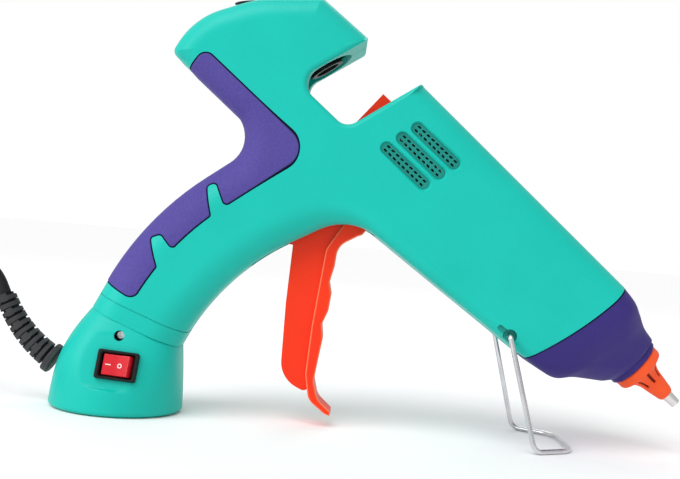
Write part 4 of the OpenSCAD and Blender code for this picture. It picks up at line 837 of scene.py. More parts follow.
def skin_point(u, d, t):
    """Point of the skin at length u, distance d over it from the middle plane, sunk by t."""
    p, n, r = back_line(u)
    back = half_w(p[:, 0]) - r
    a = np.clip((d - back) / r, 0, np.pi / 2)
    o = t + (r - t) * (1 - np.cos(a)) + np.maximum(0, d - back - r * np.pi / 2)
    xz = p + n * o[:, None]
    return in_depth(xz, np.where(d < back, d, half_w(xz[:, 0]) - t - (r - t) * (1 - np.sin(a))))


def inside(points, poly):
    """Whether points lie in a closed outline, by counting crossings."""
    q = np.roll(poly, -1, 0)
    x, y = points[:, 0, None], points[:, 1, None]
    crosses = (poly[:, 1] > y) != (q[:, 1] > y)
    with np.errstate(divide="ignore", invalid="ignore"):
        at_x = poly[:, 0] + (y - poly[:, 1]) / (q[:, 1] - poly[:, 1]) * (q[:, 0] - poly[:, 0])
    return (np.where(crosses, x < at_x, False).sum(1) % 2).astype(bool)


def skin_pad(plan, profile, spacing=2.2):
    """Pad on the skin: the plan's edge follows a profile of inset and depth, and the faces inside the last
    ring, above and below, are triangles over an even grid."""
    rings = [inset(plan, e) for e, _ in profile]
    depth = np.repeat([t for _, t in profile], len(plan))
    edge = np.concatenate(rings)

    def filled(ring, first, net_first):
        lo, hi = ring.min(0), ring.max(0)
        net = np.stack(np.meshgrid(np.arange(lo[0], hi[0], spacing), np.arange(lo[1], hi[1], spacing)), -1)
        net = net.reshape(-1, 2)
        net = net[inside(net, inset(ring, 0.8))]
        flat = np.vstack([ring, net])
        out = delaunay_2d_cdt([Vector(p) for p in flat], [], [list(range(len(ring)))], 1, 1e-6)
        index = [o[0] + first if o[0] < m else o[0] - m + net_first for o in out[3]]
        return net, [[index[n] for n in f] for f in out[2]]

    m = len(plan)
    top_net, top = filled(rings[-1], m * (len(rings) - 1), len(edge))
    low_net, low = filled(rings[0], 0, len(edge) + len(top_net))
    ud = np.vstack([edge, top_net, low_net])
    t = np.concatenate([depth, np.full(len(top_net), profile[-1][1]), np.full(len(low_net), profile[0][1])])
    return (skin_point(ud[:, 0], ud[:, 1], t), grid_faces(len(rings), m) + top + low), m


def grip_edge():
    """The grip's outline by length and by distance over the skin, closed along the middle plane."""
    u, offset = dense(grip_plan(), 1.4, closed=False).T
    edge = np.stack([u, over_skin(u, offset)], -1)
    return dense(np.vstack([edge, (edge[-1, 0], PARTING_GAP), (edge[0, 0], PARTING_GAP)]), 1.5)


GRIP_PLAN = grip_edge()


def grips():
    """Soft grip: a pad with a rounded rim that stands a little proud of the shell. Its edge is painted dark as
    shade, and the painted shade fades over the rim."""
    profile = [(0.0, POCKET_DEPTH - 0.05), (0.0, 0.35)]
    for a in np.radians(np.linspace(0, 90, 5)):
        profile.append((GRIP_RIM * (1 - math.cos(a)), -GRIP_PROUD + GRIP_RIM * (1 - math.sin(a))))
    shape, m = skin_pad(GRIP_PLAN, profile)
    obj = new_object("grip_far", shape, PURPLE_GRIP)
    # Painted shade: dark at the grip's edge, fading over the rim.
    groove = np.zeros(len(shape[0]))
    groove[:m * len(profile)] = np.repeat([1, 1, 0.95, 0.7, 0.4, 0.15, 0.0], m)
    mark_groove(obj, groove)
    near = mirrored(obj, "grip_near")
    dress(obj, HOUSING, "purple_rubber", "left_grip", sharp=60)
    dress(near, HOUSING, "purple_rubber", "right_grip", sharp=60)


# Half shells: the trigger's pin, the stand's pivots and the screw posts
PIN_S, PIN_H = 12.7, -39.0
PIN_P = at(PIN_S, PIN_H)
STAND_P = at(119.9, -34.2)
POSTS = [at(-78, -22), at(-50, 12.7), at(-40, -29.3), at(38, 14.6), at(128, -26.5), at(63, -31.7)]
# Vents: first and last place and the height of each slot, then the windows in each row of a slot
VENTS = [(12.7, 43, -10), (14.9, 45, -1.4), (16.9, 46.8, 6.9)]
VENT_HALF, VENT_DEEP, VENT_RIM = 3.0, 1.3, 2.0
WINDOWS, WINDOW_START, WINDOW_PITCH, WINDOW_LEN, WINDOW_HALF, WINDOW_LEAN = 9, 2.3, 2.95, 1.9, 0.5, 0.3
WINDOW_ROW = 1.15
# How far a cut reaches past the surface
PAST = 5
CREASE_UP, CREASE_HALF, CREASE_DEEP = 8.0, 0.3, 0.4
# Openings: the trigger's slot by its corners from the pin, the stand's wells and tracks, and the stick's way
TRIGGER_SLOT = np.array([(21, -24), (12, -8), (-20, -8), (-47, -26), (-40, -44), (0, -40)])
TRIGGER_SLOT_HALF = 10.0
STAND_WELL_R, STAND_WELL_DEEP, STAND_TRACK_DEEP = 3.3, 2.4, 1.0
STAND_TRACK = [(1.0, 1.7), (7.4, 1.2), (7.4, -1.2), (1.0, -1.7)]
STAND_TRACK_D = unit([-0.8, 0.6])
STICK_WAY_R, STICK_WAY_S = 8.4, (-120, -20.5)
# Oval ways: the neck into the cup by its depth and its reach across the seam, and the hump's mouth towards the
# notch by its half height, its drop, its depth and its places
NECK_Y, NECK_REACH = 16.5, (-9, 4.5)
HUMP_MOUTH_H, HUMP_MOUTH_DROP, HUMP_MOUTH_Y, HUMP_MOUTH_S = 13.5, 0.3, 19, (-45, -22)
WELL_R, WELL_DEEP, POST_R, POST_DEEP = 2.9, 6.9, 4.1, 12


def vent_cuts():
    """Bevelled rims and long rounded slots in the side, and two rows of small windows through each floor."""
    rims, slots, windows = [], [], []
    a = np.radians(np.linspace(90, 270, 13))
    for s0, s1, h in VENTS:
        w = half_w(at((s0 + s1) / 2, h)[0])

        def oblong(y, grow):
            r = VENT_HALF + grow
            s = np.concatenate([s0 + VENT_HALF + r * np.cos(a), s1 - VENT_HALF - r * np.cos(a)])
            return in_depth(at(s, h + np.concatenate([r * np.sin(a), -r * np.sin(a)])), np.full(len(s), y))

        rims.append(loft([oblong(w - 0.9, 0), oblong(w + 1.5, VENT_RIM)]))
        slots.append(loft([oblong(w - VENT_DEEP, 0), oblong(w + 4, 0)]))
        for row in (-1, 1):
            for i in range(WINDOWS):
                s = s0 + WINDOW_START + WINDOW_PITCH * i
                low_high = np.array([-1, -1, 1, 1])
                corners = at(s + np.array([0, WINDOW_LEN, WINDOW_LEN, 0]) + WINDOW_LEAN * row * low_high,
                             h + row * WINDOW_ROW + WINDOW_HALF * low_high)
                windows.append(plate(soft_poly([(c, 0.3) for c in corners], 30), w - WALL - 2, w + 4))
    # Painted shade: the slots and windows take the darker recess turquoise.
    return (join(*rims), TURQUOISE), (join(*slots), RECESS_SHADE_TEAL), (join(*windows), RECESS_SHADE_TEAL)


def crease_cut():
    """Fine groove round the handle over the cup seam: a thin tilted band less the housing sunk a little."""
    mid = seam_c + seam_n * CREASE_UP
    corners = [mid + seam_e * a + seam_n * b for a, b in bar_corners(40, CREASE_HALF)]
    band = new_object("band", plate(np.array(corners), CREASE_DEEP, 40))
    rings = [foot_ring(CREASE_DEEP, -5)] + [housing_ring(CREASE_DEEP, a) for a in np.linspace(0, 90, 9)]
    carve(band, (loft(rings), None))
    me = band.data
    points = np.array([v.co for v in me.vertices]) / MM
    faces = [list(p.vertices) for p in me.polygons]
    bpy.data.objects.remove(band)
    return (points, faces), TURQUOISE


def shells():
    """Both half shells: one skin with its openings, mirrored, and screw wells in the far one alone."""
    far = new_object("shell_far", half_skin(), TURQUOISE)
    # Painted shade: the pocket round the grip is cut with the dark navy finish.
    pocket, _ = skin_pad(GRIP_PLAN, [(-GRIP_GAP, POCKET_DEPTH), (-GRIP_GAP, -1.6)], 3.0)
    w = half_w(STAND_P[0])
    stand_well = rod_y(STAND_P, STAND_WELL_R, w - STAND_WELL_DEEP, w + PAST)
    track = [STAND_P + STAND_TRACK_D * a + inward(STAND_TRACK_D) * b for a, b in STAND_TRACK]
    track = plate(soft_poly([(c, 1.1) for c in track], 15), w - STAND_TRACK_DEEP, w + PAST)
    trigger_slot = plate(PIN_P + TRIGGER_SLOT, -1, TRIGGER_SLOT_HALF)
    q = around(48)
    neck_a = SEAM_HALF - CUP_WALL - 1.5
    neck = loft([in_depth(seam_c + seam_n * b + seam_e * (neck_a * np.cos(q))[:, None], NECK_Y * np.sin(q))
                 for b in NECK_REACH])
    mouth_h, mouth_y = HUMP_MOUTH_H * np.cos(q) - HUMP_MOUTH_DROP, HUMP_MOUTH_Y * np.sin(q)
    mouth = loft([in_depth(at(np.full(48, s), mouth_h), mouth_y) for s in HUMP_MOUTH_S])
    nose_room = slab(NOSE_B - 8, NOSE_T + 8, -30, 16, -1, half_w(230) - WALL - 3)
    carriage_room = slab(-20, 9, -15.4, 10.4, -1, 13.2)
    stick_way = loft(line_rings(STICK_WAY_S, [STICK_WAY_R, STICK_WAY_R]))
    rims, slots, windows = vent_cuts()
    # Painted shade: the stand well and its track are cut with the darker recess turquoise.
    carve(far, (pocket, POCKET_SHADE_NAVY), rims, slots, (trigger_slot, TURQUOISE), (stand_well, RECESS_SHADE_TEAL),
          crease_cut(), (nose_room, TURQUOISE), (neck, TURQUOISE), (mouth, TURQUOISE))
    carve(far, windows, (carriage_room, TURQUOISE), (track, RECESS_SHADE_TEAL))
    carve(far, (stick_way, TURQUOISE))
    near = mirrored(far, "shell_near")
    wells = [rod_y(p, WELL_R, half_w(p[0]) - WELL_DEEP, half_w(p[0]) + PAST) for p in POSTS]
    posts = [rod_y(p, POST_R, half_w(p[0]) - POST_DEEP, half_w(p[0]) - WALL / 2) for p in POSTS]
    carve(far, (join(*posts), TURQUOISE), operation="UNION")
    carve(far, (join(*wells), TURQUOISE))
    dress(far, HOUSING, "turquoise", "left_shell", "left_hump")
    dress(near, HOUSING, "turquoise", "right_shell", "right_hump")


shells()
grips()

# Base cup with the flat for the switch. The flat's field is a soft oblong: middle and half sizes along and up.
BASE_LIFT, FOOT_R, CUP_BULGE, CUP_SQUARE = 0.5, 2.2, 2.1, 0.93
FLAT_P, FLAT_TILT, FLAT_TWIST, FLAT_SUNK, FLAT_SOFT = (4.6, -27.4, 24.2), 15.0, -3.0, 0.45, 0.16
FIELD_MID, FIELD_HALF = (-2.5, 1.5), (15.0, 13.5)
SWITCH_CUT_W, SWITCH_CUT_H, RELIEF_HOLE_R = 18.4, 12.6, 5.1
# The cup's screws: radii of well, head, shank and cross, and depths under the handle's side
CUP_WELL_R, HEAD_R, SHANK_R, CROSS_LEN, CROSS_W = 2.5, 1.75, 1.3, 1.2, 0.35
CUP_WELL_DEEP, SHANK_DEEP, HEAD_DEEP, CROSS_DEEP = 3.6, (11, 3.5), (3.4, 2.3), (3.1, 1)
cup_screw = seam_c - seam_n * 5.2 - seam_e * 3.2
SCREW_Y = half_w(cup_screw[0])


def turned(axis, degrees):
    return np.array(Matrix.Rotation(math.radians(degrees), 4, axis))


def shifted(*by):
    return np.array(Matrix.Translation(by))


ON_FLAT = shifted(*FLAT_P) @ turned("X", 90 - FLAT_TILT) @ turned("Z", FLAT_TWIST)


def cup_rings(v, t, n=200):
    """Rings of the cup from the base, v = 0, to the seam, v = 1, inset by t. Length and width shrink and bulge,
    the ring tilts to the seam, and it grows from an ellipse to the squarer section of the handle."""
    v = np.asarray(v, float)[:, None]
    q = around(n)
    bulge = CUP_BULGE * np.sin(np.pi * v)
    a = BASE_R + (SEAM_HALF - BASE_R) * v + bulge - t
    b = BASE_R + (half_w(seam_c[0]) - BASE_R) * v**1.3 + bulge / 2 - t
    power = 2 / (2 + CUP_SQUARE * ease(v))
    c = np.sign(np.cos(q)) * np.abs(np.cos(q)) ** power
    s = np.sign(np.sin(q)) * np.abs(np.sin(q)) ** power
    x = seam_c[0] * v - bulge + a * c * np.cos(SEAM_TILT * v)
    z = BASE_LIFT + (seam_c[1] - BASE_LIFT) * v - a * c * np.sin(SEAM_TILT * v)
    return np.stack([x, b * s, z], -1)


def base_cup():
    """Cup as a closed skin. Within a rounded field about the switch, what stands past the flat's plane by g
    moves back by g's smooth positive part."""
    n = 200
    q = around(n)

    def disc(r, z):
        return np.column_stack([r * np.cos(q), r * np.sin(q), np.full(n, z)])

    foot = [disc(BASE_R - FOOT_R + FOOT_R * math.sin(a), BASE_LIFT + FOOT_R * (1 - math.cos(a)))
            for a in np.radians(np.linspace(0, 80, 6))]
    outer = np.concatenate([foot, cup_rings(np.linspace(0.075, 0.985, 60), 0), cup_rings([1.0], 0.35)])
    across, up, past = ((outer - ON_FLAT[:3, 3]) @ ON_FLAT[:3, k] for k in range(3))
    reach = sum(((v - mid) / half) ** 4 for v, mid, half in zip((across, up), FIELD_MID, FIELD_HALF)) ** 0.25
    sink = FLAT_SOFT * np.logaddexp(0, (past + FLAT_SUNK) / FLAT_SOFT)
    normal = ON_FLAT[:3, 2]
    outer = outer - (ease((1.05 - reach) / 0.1) * sink)[..., None] * normal
    room = cup_rings(np.linspace(1.0, 0.08, 14), CUP_WALL)
    past = (room - ON_FLAT[:3, 3]) @ normal + CUP_WALL
    room = room - np.maximum(past, 0)[..., None] * normal
    rings = np.concatenate([outer, room, disc(BASE_R - CUP_WALL, BASE_LIFT)[None]])
    shape = rings.reshape(-1, 3), grid_faces(len(rings), n, wrap_rows=True)
    obj = new_object("base_shell", shape, TURQUOISE)
    window = moved(in_box(SWITCH_CUT_W, SWITCH_CUT_H, -20, 12), ON_FLAT)
    axis = unit([-math.cos(math.radians(RELIEF_A)), 0, math.sin(math.radians(RELIEF_A))])
    start = np.array([RELIEF_P[0], 0, RELIEF_P[1]])
    relief_hole = tube(np.array([start - axis * 12, start + axis * 18]), RELIEF_HOLE_R, 40)
    wells = [rod_y(cup_screw, CUP_WELL_R, *sorted((m * (SCREW_Y - CUP_WELL_DEEP), m * 60))) for m in (1, -1)]
    # Painted shade: the screw wells are cut with the darker recess turquoise.
    carve(obj, (window, BLACK), (relief_hole, TURQUOISE), (join(*wells), RECESS_SHADE_TEAL))
    dress(obj, HOUSING, "turquoise", "base_cup")


def in_box(x, y, z0, z1):
    """Box about the local Z axis."""
    ring = bar_corners(x / 2, y / 2)
    return loft([np.column_stack([ring, np.full(4, z)]) for z in (z0, z1)])


def cup_screws():
    """Two screws through the cup into the handle's neck: a flat head with a cross in it, and a shank."""
    parts, bars = [], []
    for m in (1, -1):
        head, shank, cut = (sorted(m * (SCREW_Y - d) for d in deep)
                            for deep in (HEAD_DEEP, SHANK_DEEP, CROSS_DEEP))
        parts += [rod_y(cup_screw, HEAD_R, *head), rod_y(cup_screw, SHANK_R, *shank)]
        for turn in (0.4, 0.4 + math.pi / 2):
            e = heading(turn)
            bar = [cup_screw + e * x + inward(e) * z for x, z in bar_corners(CROSS_LEN, CROSS_W)]
            bars.append(plate(np.array(bar), *cut))
    obj = new_object("cup_screw_pair", join(*parts), SCREW)
    for bar in bars:
        carve(obj, (bar, SCREW))
    dress(obj, HOUSING, "steel", "cup_screws")


base_cup()
cup_screws()

# Rocker switch. The rocker's valley and underside are heights over its axis.
BEZEL_W, BEZEL_H, BEZEL_T = 19.8, 14.0, 2.0
ROCKER_W, ROCKER_H, ROCKER_AXIS, ROCKER_TILT = 14.6, 10.0, -2.0, 7.0
ROCKER_VALLEY, ROCKER_LOW = 3.2, -4.0
ROOM_W, ROOM_H = ROCKER_W + 0.8, ROCKER_H + 0.8
BAR_MARK = np.array([(-5.0, -0.25), (-2.4, -0.25), (-2.4, 0.25), (-5.0, 0.25)])
RING_MARK_P, RING_MARK_R, RING_MARK_IN, RING_MARK_N = (1.9, -0.1), 1.15, 0.68, 32


def round_frame(x, y, r, z):
    """Rounded rectangle about the local Z axis at height z."""
    corners = bar_corners(x / 2, y / 2)
    poly = np.concatenate([arc(c, unit(c - corners[i - 1]), unit(corners[(i + 1) % 4] - c), r, 6)
                           for i, c in enumerate(corners)])
    return np.column_stack([poly, np.full(len(poly), z)])


def switch():
    """Bezel: frames of changing size from the floor of the room up over the rim and down round the body.
    Rocker: a round segment whose two faces meet in a shallow valley, with its rim rounded and a bar and a ring
    on it."""
    frames = [(ROOM_W, ROOM_H, 0.5, -9.5), (ROOM_W, ROOM_H, 0.5, 0.9), (ROOM_W + 0.9, ROOM_H + 0.9, 0.7, 1.75),
              (ROOM_W + 1.5, ROOM_H + 1.5, 0.8, BEZEL_T), (BEZEL_W - 1.0, BEZEL_H - 1.0, 0.9, BEZEL_T),
              (BEZEL_W - 0.3, BEZEL_H - 0.3, 1.0, BEZEL_T - 0.25), (BEZEL_W, BEZEL_H, 1.1, BEZEL_T - 0.7),
              (BEZEL_W, BEZEL_H, 1.1, -FLAT_SUNK), (BEZEL_W - 1.6, BEZEL_H - 1.6, 0.6, -FLAT_SUNK),
              (BEZEL_W - 1.6, BEZEL_H - 1.6, 0.6, -13)]
    bezel = new_object("switch_bezel", moved(loft([round_frame(*f) for f in frames]), ON_FLAT), BLACK)
    dress(bezel, HOUSING, "black_plastic", "switch_body", sharp=28)

    slope = math.tan(math.radians(ROCKER_TILT))
    r = ROCKER_W / 2
    edge_x = np.linspace(4, r, 2000)
    edge_x = edge_x[np.argmin(np.abs(np.hypot(edge_x, ROCKER_VALLEY + edge_x * slope) - r))]
    ends = [math.asin(ROCKER_LOW / r), math.atan2(ROCKER_VALLEY + edge_x * slope, edge_x)]
    right = r * heading(np.linspace(*ends, 14))
    dip = np.linspace(1, -1, 17)[1:-1] * edge_x
    dip = np.stack([dip, ROCKER_VALLEY + np.hypot(dip, 0.7) * slope - 0.05], -1)
    poly = np.vstack([right, dip, (right * [-1, 1])[::-1]])
    here = ON_FLAT @ shifted(0, 0, ROCKER_AXIS) @ turned("Y", -ROCKER_TILT)
    rocker = new_object("rocker_button", moved(plate(poly, -ROCKER_H / 2, ROCKER_H / 2, 0.45), here), RED)
    dress(rocker, ROCKER, "red_plastic", "switch_rocker", sharp=40)

    def on_face(poly_xy):
        z = ROCKER_VALLEY + np.abs(poly_xy[:, 0]) * slope
        return [np.column_stack([poly_xy, z + lift]) for lift in (-0.25, 0.05)]

    outer, inner = (on_face(circle(RING_MARK_P, radius, RING_MARK_N)) for radius in (RING_MARK_R, RING_MARK_IN))
    ring = np.array(outer + inner[::-1]).reshape(-1, 3), grid_faces(4, RING_MARK_N, wrap_rows=True)
    marks = new_object("rocker_marks", moved(join(loft(on_face(BAR_MARK)), ring), here), MARKS)
    dress(marks, ROCKER, "white_plastic")


switch()

# Nose cover and nozzle cover
COLLAR_S, COLLAR_R, COLLAR_BORE = TIP_S - 29, 13.7, 9.5
NOSE_WALL, LIP_STEP, LIP_DEEP = 2.4, 0.75, 1.0
SEAM_W = half_w(at((NOSE_T + NOSE_B) / 2, 0.0)[0])
# Upper place and height, lower place and height, half width, upper and lower rounding, and bow
NOSE_ROWS = np.array([
    (NOSE_T, NOSE_TOP_H, NOSE_B, NOSE_LOW_H, SEAM_W, 11, 6, SEAM_BOW),
    (NOSE_T + 9, TOP_H - 4.5, NOSE_B + 10.5, -35.6, SEAM_W - 0.8, 12, 7, 1.6),
    (NOSE_T + 16, TOP_H - 6.6, NOSE_B + 19, -33.2, 23.8, 14, 10, 0.8),
    (NOSE_T + 23, TOP_H - 9, NOSE_B + 26.5, -26.6, 20, 15, 13, 0.3),
    (COLLAR_S - 3, 14.7, COLLAR_S - 6.4, -17.9, 15.6, 14, 14.6, 0),
])


def nose_rings(rows, inset_by=0.0, n=14):
    """Rounded oblongs across the stick line, each between an upper and a lower place and bowed forwards."""
    st, ht, sb, hb, w, rt, rb, bow = (c[:, None] for c in np.asarray(rows, float).T)
    ht, hb, w = ht - inset_by, hb + inset_by, w - inset_by
    room = np.minimum(w - 0.2, (ht - hb) / 2 - 0.2)
    rt, rb = np.minimum(rt, room), np.minimum(rb, room)
    f = np.radians(np.concatenate([np.linspace(90 * k, 90 * k + 90, n) for k in range(4)]))
    quarter = np.repeat(np.arange(4), n)
    r = np.where(quarter < 2, rt, rb)
    y = np.where((quarter == 0) | (quarter == 3), 1, -1) * (w - r) + r * np.cos(f)
    h = np.where(quarter < 2, ht - rt, hb + rb) + r * np.sin(f)
    share = np.linspace(0, 1, 14)[1:-1]
    side = h[:, 2 * n - 1:2 * n] + (h[:, 2 * n:2 * n + 1] - h[:, 2 * n - 1:2 * n]) * share
    h = np.concatenate([h[:, :2 * n], side, h[:, 2 * n:], side[:, ::-1]], 1)
    y = np.concatenate([y[:, :2 * n], side * 0 - w, y[:, 2 * n:], side * 0 + w], 1)
    x = (h - hb) / (ht - hb)
    return in_depth(at(sb + (st - sb) * x + 4 * bow * x * (1 - x), h), y)


def nose():
    """Nose as a closed skin: a recessed lip at the seam, rows carried smoothly to the collar, the collar's rim,
    the hole for the nozzle and the room inside."""
    ends = 2 * NOSE_ROWS[0] - NOSE_ROWS[1], 2 * NOSE_ROWS[-1] - NOSE_ROWS[-2]
    rows = through(np.vstack([ends[0], NOSE_ROWS, ends[1]]), 10)
    along = np.array([1, 0, 1, 0, 0, 0, 0, 0])
    seam = rows[0] + 0.1 * along
    lip = [nose_rings([seam - 4 * along], 1.6), nose_rings([seam], LIP_DEEP),
           nose_rings([seam + 0.55 * along], LIP_STEP)]
    rows[0] += LIP_STEP * along
    rim = [(COLLAR_S - 2.6, COLLAR_R - 0.1), (COLLAR_S - 2.2, COLLAR_R), (COLLAR_S - 0.5, COLLAR_R),
           (COLLAR_S, COLLAR_R - 0.5), (COLLAR_S, COLLAR_BORE), (COLLAR_S - 6, COLLAR_BORE)]
    rim = nose_rings([(s, r, s, -r, r, r, r, 0) for s, r in rim])
    room = rows[::-10][1:] - 2.6 * along
    rings = np.concatenate(lip + [nose_rings(rows), rim, nose_rings(room, NOSE_WALL)])
    shape = rings.reshape(-1, 3), grid_faces(len(rings), rings.shape[1], wrap_rows=True)
    obj = new_object("nose_shell", shape, PURPLE_NOSE)
    # Painted shade: the recessed lip at the seam is coloured darker.
    dark = np.zeros(rings.shape[:2])
    dark[:3] = [[1.0], [1.0], [0.8]]
    mark_groove(obj, dark)
    weld(obj)
    dress(obj, HOUSING, "purple_plastic", "nose_cover", sharp=35)


# Profile of the nozzle cover: radius and place past the collar of the flange and of the neck, with the hollow
# cone between them. Its grooves have a half width, a depth, and a place each where they start and end.
FLANGE = [(11.4, 0.2), (12.2, 0.25), (12.6, 0.7), (12.7, 1.2), (12.7, 4.1), (12.3, 5.0), (11.6, 5.4)]
CONE_R, CONE_DROP, CONE_S, CONE_LEN, CONE_ANGLE = 11.2, 5.6, 5.6, 9.4, 75
NECK = [(5.2, 16), (4.35, 20.6), (4.1, 21.6), (3.6, 22.6), (2.95, 22.6)]
GROOVES, GROOVE_HALF, GROOVE_DEEP, GROOVE_S = 8, 0.85, 1.1, (5.6, 13.2)


def nozzle_cover():
    """Soft cover turned round the stick line: a flange, a hollow cone and a neck. Eight narrow grooves run from
    the flange down the cone: the radius drops to the groove floor inside a window of angle and length."""
    a = np.radians(np.linspace(0, CONE_ANGLE, 12))
    cone = np.stack([CONE_R - CONE_DROP * np.sin(a), CONE_S + CONE_LEN * (1 - np.cos(a))], -1)
    profile = np.vstack([FLANGE, cone, NECK])
    u = length_along(profile)
    r, s = (np.interp(np.linspace(0, u[-1], 110), u, v)[:, None] for v in profile.T)
    angle = around(384)
    pitch = 2 * np.pi / GROOVES
    off = np.abs((angle + pitch / 2) % pitch - pitch / 2) * r
    window = ease((GROOVE_HALF - off) / 0.3) * (ease((s - GROOVE_S[0]) / 0.5) * ease((GROOVE_S[1] - s) / 1.2))
    ring = r - GROOVE_DEEP * window
    points = in_depth(at(np.broadcast_to(COLLAR_S + s, ring.shape), ring * np.sin(angle)), ring * np.cos(angle))
    obj = new_object("nozzle_sleeve", loft(points), SILICONE)
    # Painted shade: the grooves are coloured darker.
    mark_groove(obj, window)
    dress(obj, HOUSING, "orange_silicone", "nozzle_cover", sharp=40)


nose()
nozzle_cover()

# Trigger: corners by their place from the pin, each with its radius. The carriage's pins stand half a stroke
# before the trigger's pin.
PULL = math.radians(18)
WEB_HALF, STRIP_HALF, FORK_IN, FORK_OUT = 6.5, 9.3, 9.6, 12.6
HUB_R, PIN_BORE_R, FORK_BORE_R = 6.4, 2.05, 3.7
TRUNNION_S = PIN_S + PIN_H * PULL / 2
WEB = [((-6, 4), 3), ((6, 4), 3), ((13, -21), 8), ((-2.6, -30), 0), ((-4.2, -46), 0), ((-6.4, -68), 0),
       ((-7.6, -92), 8), ((-6.2, -102.4), 3), ((-21.8, -95.5), 14), ((-22, -58), 0), ((-20.8, -27), 1.5),
       ((-38, -34), 0.6), ((-36, -31), 0.6), ((-14, -16), 4)]
STRIP = [((15.6, -20.4), 1.5), ((10.8, -22.4), 6), ((1.4, -28), 9), ((0.6, -38), 0), ((-1.2, -46.2), 2.5),
         ((0.2, -52), 4), ((-0.6, -60), 4), ((-3.2, -67), 2.5), ((-2.2, -74), 4), ((-3.4, -83), 0),
         ((-4.9, -95), 8), ((-2.6, -103.6), 9), ((5.4, -110.4), 1), ((3.6, -112.4), 1), ((-7, -104.6), 8),
         ((-9.4, -92), 8), ((-8.2, -68), 0), ((-6, -46), 0), ((-4.4, -30), 9), ((4, -16), 3),
         ((14, -17.4), 1.5)]


def trigger():
    """Web and wider finger strip as plates with rounded rims, a hub on the pin and two fork arms up to the
    carriage's pins."""
    web = dense(soft_poly([(PIN_P + p, r) for p, r in WEB], 5), 2.5)
    strip = dense(soft_poly([(PIN_P + p, r) for p, r in STRIP], 5), 2.0)
    # Painted highlight: the lever finish lightens the rounded rims of the strip.
    obj = new_object("trigger_lever", plate(strip, -STRIP_HALF, STRIP_HALF, 0.9), LEVER_PAINTED_HIGHLIGHT)
    arm = soft_poly([(PIN_P + [-5, -2], 1), (at(TRUNNION_S - 5.5, 6), 4), (at(TRUNNION_S + 5.5, 6), 4),
                     (PIN_P + [HUB_R, -2], 1)])
    for shape in (plate(web, -WEB_HALF, WEB_HALF, 0.7), rod_y(PIN_P, HUB_R, -FORK_OUT, FORK_OUT, 64),
                  plate(arm, FORK_IN, FORK_OUT), plate(arm, -FORK_OUT, -FORK_IN)):
        carve(obj, (shape, LEVER_PAINTED_HIGHLIGHT), operation="UNION")
    carve(obj, (rod_y(PIN_P, PIN_BORE_R, -20, 20), LEVER_PAINTED_HIGHLIGHT),
          (rod_y(at(TRUNNION_S, 0.0), FORK_BORE_R, -20, 20), LEVER_PAINTED_HIGHLIGHT))
    dress(obj, TRIGGER, "orange_plastic", "trigger", sharp=38)


trigger()

# Wire stand
WIRE_R, STAND_LEAN, STAND_HALF, FOOT_LEN = 1.25, 15.0, 33.0, 20.0


def wire_stand():
    """One bent wire: in at one pivot, down a leg, round the foot and up to the other pivot."""
    y = half_w(STAND_P[0]) + 0.4 + WIRE_R
    heel_x = STAND_P[0] + STAND_LEAN
    half = [((STAND_P[0], y - 6.8, STAND_P[1]), 0), ((STAND_P[0], y, STAND_P[1]), 2),
            ((heel_x, STAND_HALF, WIRE_R), 5), ((heel_x + FOOT_LEN, STAND_HALF - 12, WIRE_R), 14)]
    near = [((p[0], -p[1], p[2]), r) for p, r in half]
    path = soft_path(near + half[::-1], 14)
    obj = new_object("stand_wire", tube(path, WIRE_R, 20), STEEL)
    dress(obj, STAND, "steel", "wire_stand", sharp=60)


wire_stand()

# Return spring between the carriage and its seat in the barrel. SPRING_FLAT is the share of each flat end.
SPRING_R, SPRING_WIRE, SPRING_TURNS, SPRING_ENDS, SPRING_FLAT = 9.2, 1.2, 6, (14.35, 41.35), 0.12


def return_spring():
    """Wire on a helix round the stick line: the place s rises evenly between the flat end turns, and the wire
    lies at SPRING_R, at an angle that grows with the turn."""
    turn = np.linspace(0, SPRING_TURNS, 24 * SPRING_TURNS + 1)
    rise = np.clip((turn / SPRING_TURNS - SPRING_FLAT) / (1 - 2 * SPRING_FLAT), 0, 1)
    s = SPRING_ENDS[0] + (SPRING_ENDS[1] - SPRING_ENDS[0]) * rise
    angle = 2 * np.pi * turn
    path = in_depth(at(s, SPRING_R * np.cos(angle)), SPRING_R * np.sin(angle))
    obj = new_object("feed_spring", tube(path, SPRING_WIRE / 2, 10), SCREW)
    obj.data.shade_smooth()
    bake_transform(obj)
    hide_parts("return_spring")


return_spring()

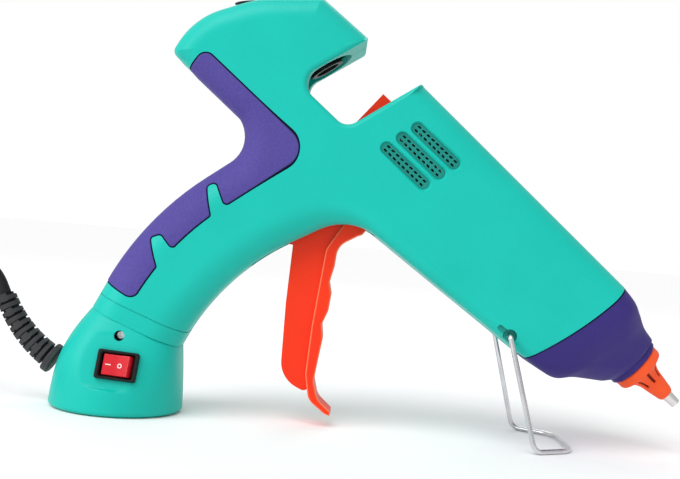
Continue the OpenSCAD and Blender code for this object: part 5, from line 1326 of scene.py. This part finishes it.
# Solids whose own shape stays, with a finish each
NODE_FINISH = {
    ORANGE: ["stick_carriage"],
    BLACK: ["stick_guide", "plug_body", "coil_tie"],
    TURQUOISE: ["base_plate"],
    CORD: ["cord_tail"],
    SCREW: ["base_screws", "shell_screws", "sleeve_clip", "trigger_pin", "grip_blade"],
    ALUMINIUM: ["nozzle", "melt_chamber"],
    BRASS: ["plug_pins", "switch_terminals", "heater_electrodes"],
    moulded("ceramic", (120, 118, 116), (96, 94, 92), 0.7): ["heater_plates"],
    moulded("insulating_film", (206, 140, 52), (188, 120, 40), 0.35): ["heater_film"],
    moulded("support_resin", (96, 66, 44), (80, 52, 34), 0.6): ["front_support", "rear_support"],
    moulded("red_silicone", (212, 56, 40), (196, 44, 30), 0.55): ["inlet_sleeve"],
    moulded("heat_proof_lead", (206, 200, 186), (186, 180, 166), 0.6): ["heater_leads"],
    moulded("blue_lead", (52, 80, 176), (44, 66, 156), 0.45): ["supply_leads"],
    moulded("splice_plastic", (232, 232, 224), (214, 214, 206), 0.45): ["splice_cap"],
}
for node_finish, names in NODE_FINISH.items():
    for name in names:
        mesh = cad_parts[name].data
        mesh.materials.clear()
        mesh.materials.append(node_finish)

# Floor, light and world
FLOOR_RINGS = np.array([0.02, 0.2, 0.5, 1.2, 3, 7, 14])


def floor():
    """Round floor, with finer rings towards its middle."""
    n = 96
    points = in_depth(FLOOR_RINGS[:, None, None] * heading(around(n)), 0)[..., [0, 2, 1]].reshape(-1, 3)
    obj = new_object("floor", (points / MM, grid_faces(len(FLOOR_RINGS), n) + [list(range(n))]),
                     moulded("pale_floor", (250, 250, 250), (247, 247, 248), 0.9, 0.02, 300.0))


def lamp(name, kind, place, target, power, **settings):
    """Lamp of a kind at a place, turned towards a target."""
    data = bpy.data.lights.new(name, kind)
    data.energy = power
    for key, value in settings.items():
        setattr(data, key, value)
    light = bpy.data.objects.new(name, data)
    light.location = place
    light.rotation_euler = (Vector(target) - Vector(place)).to_track_quat("-Z", "Y").to_euler()
    bpy.context.scene.collection.objects.link(light)


floor()
MIDDLE = (0.1, 0.0, 0.1)
lamp("key", "SUN", (-0.5, -0.85, 1.5), MIDDLE, 1.6, angle=0.8)
lamp("side", "AREA", (-0.9, -0.5, 0.5), MIDDLE, 3.0, shape="DISK", size=0.6)
lamp("back", "AREA", (0.2, 0.9, 1.0), MIDDLE, 2.0, shape="DISK", size=0.7)

# The studio round the floor is white to look at and dimmer as light
STUDIO_LIGHT = 0.64


def studio():
    world = bpy.data.worlds.new("studio")
    bpy.context.scene.world = world
    world.use_nodes = True
    tree = world.node_tree
    backdrop = tree.nodes["Background"]
    backdrop.inputs["Color"].default_value = (1, 1, 1, 1)
    seen = Number(tree, tree.nodes.new("ShaderNodeLightPath").outputs["Is Camera Ray"])
    bright = seen * (1 - STUDIO_LIGHT) + STUDIO_LIGHT
    tree.links.new(bright.socket, backdrop.inputs["Strength"])
    bpy.context.scene.view_settings.view_transform = "Standard"


studio()
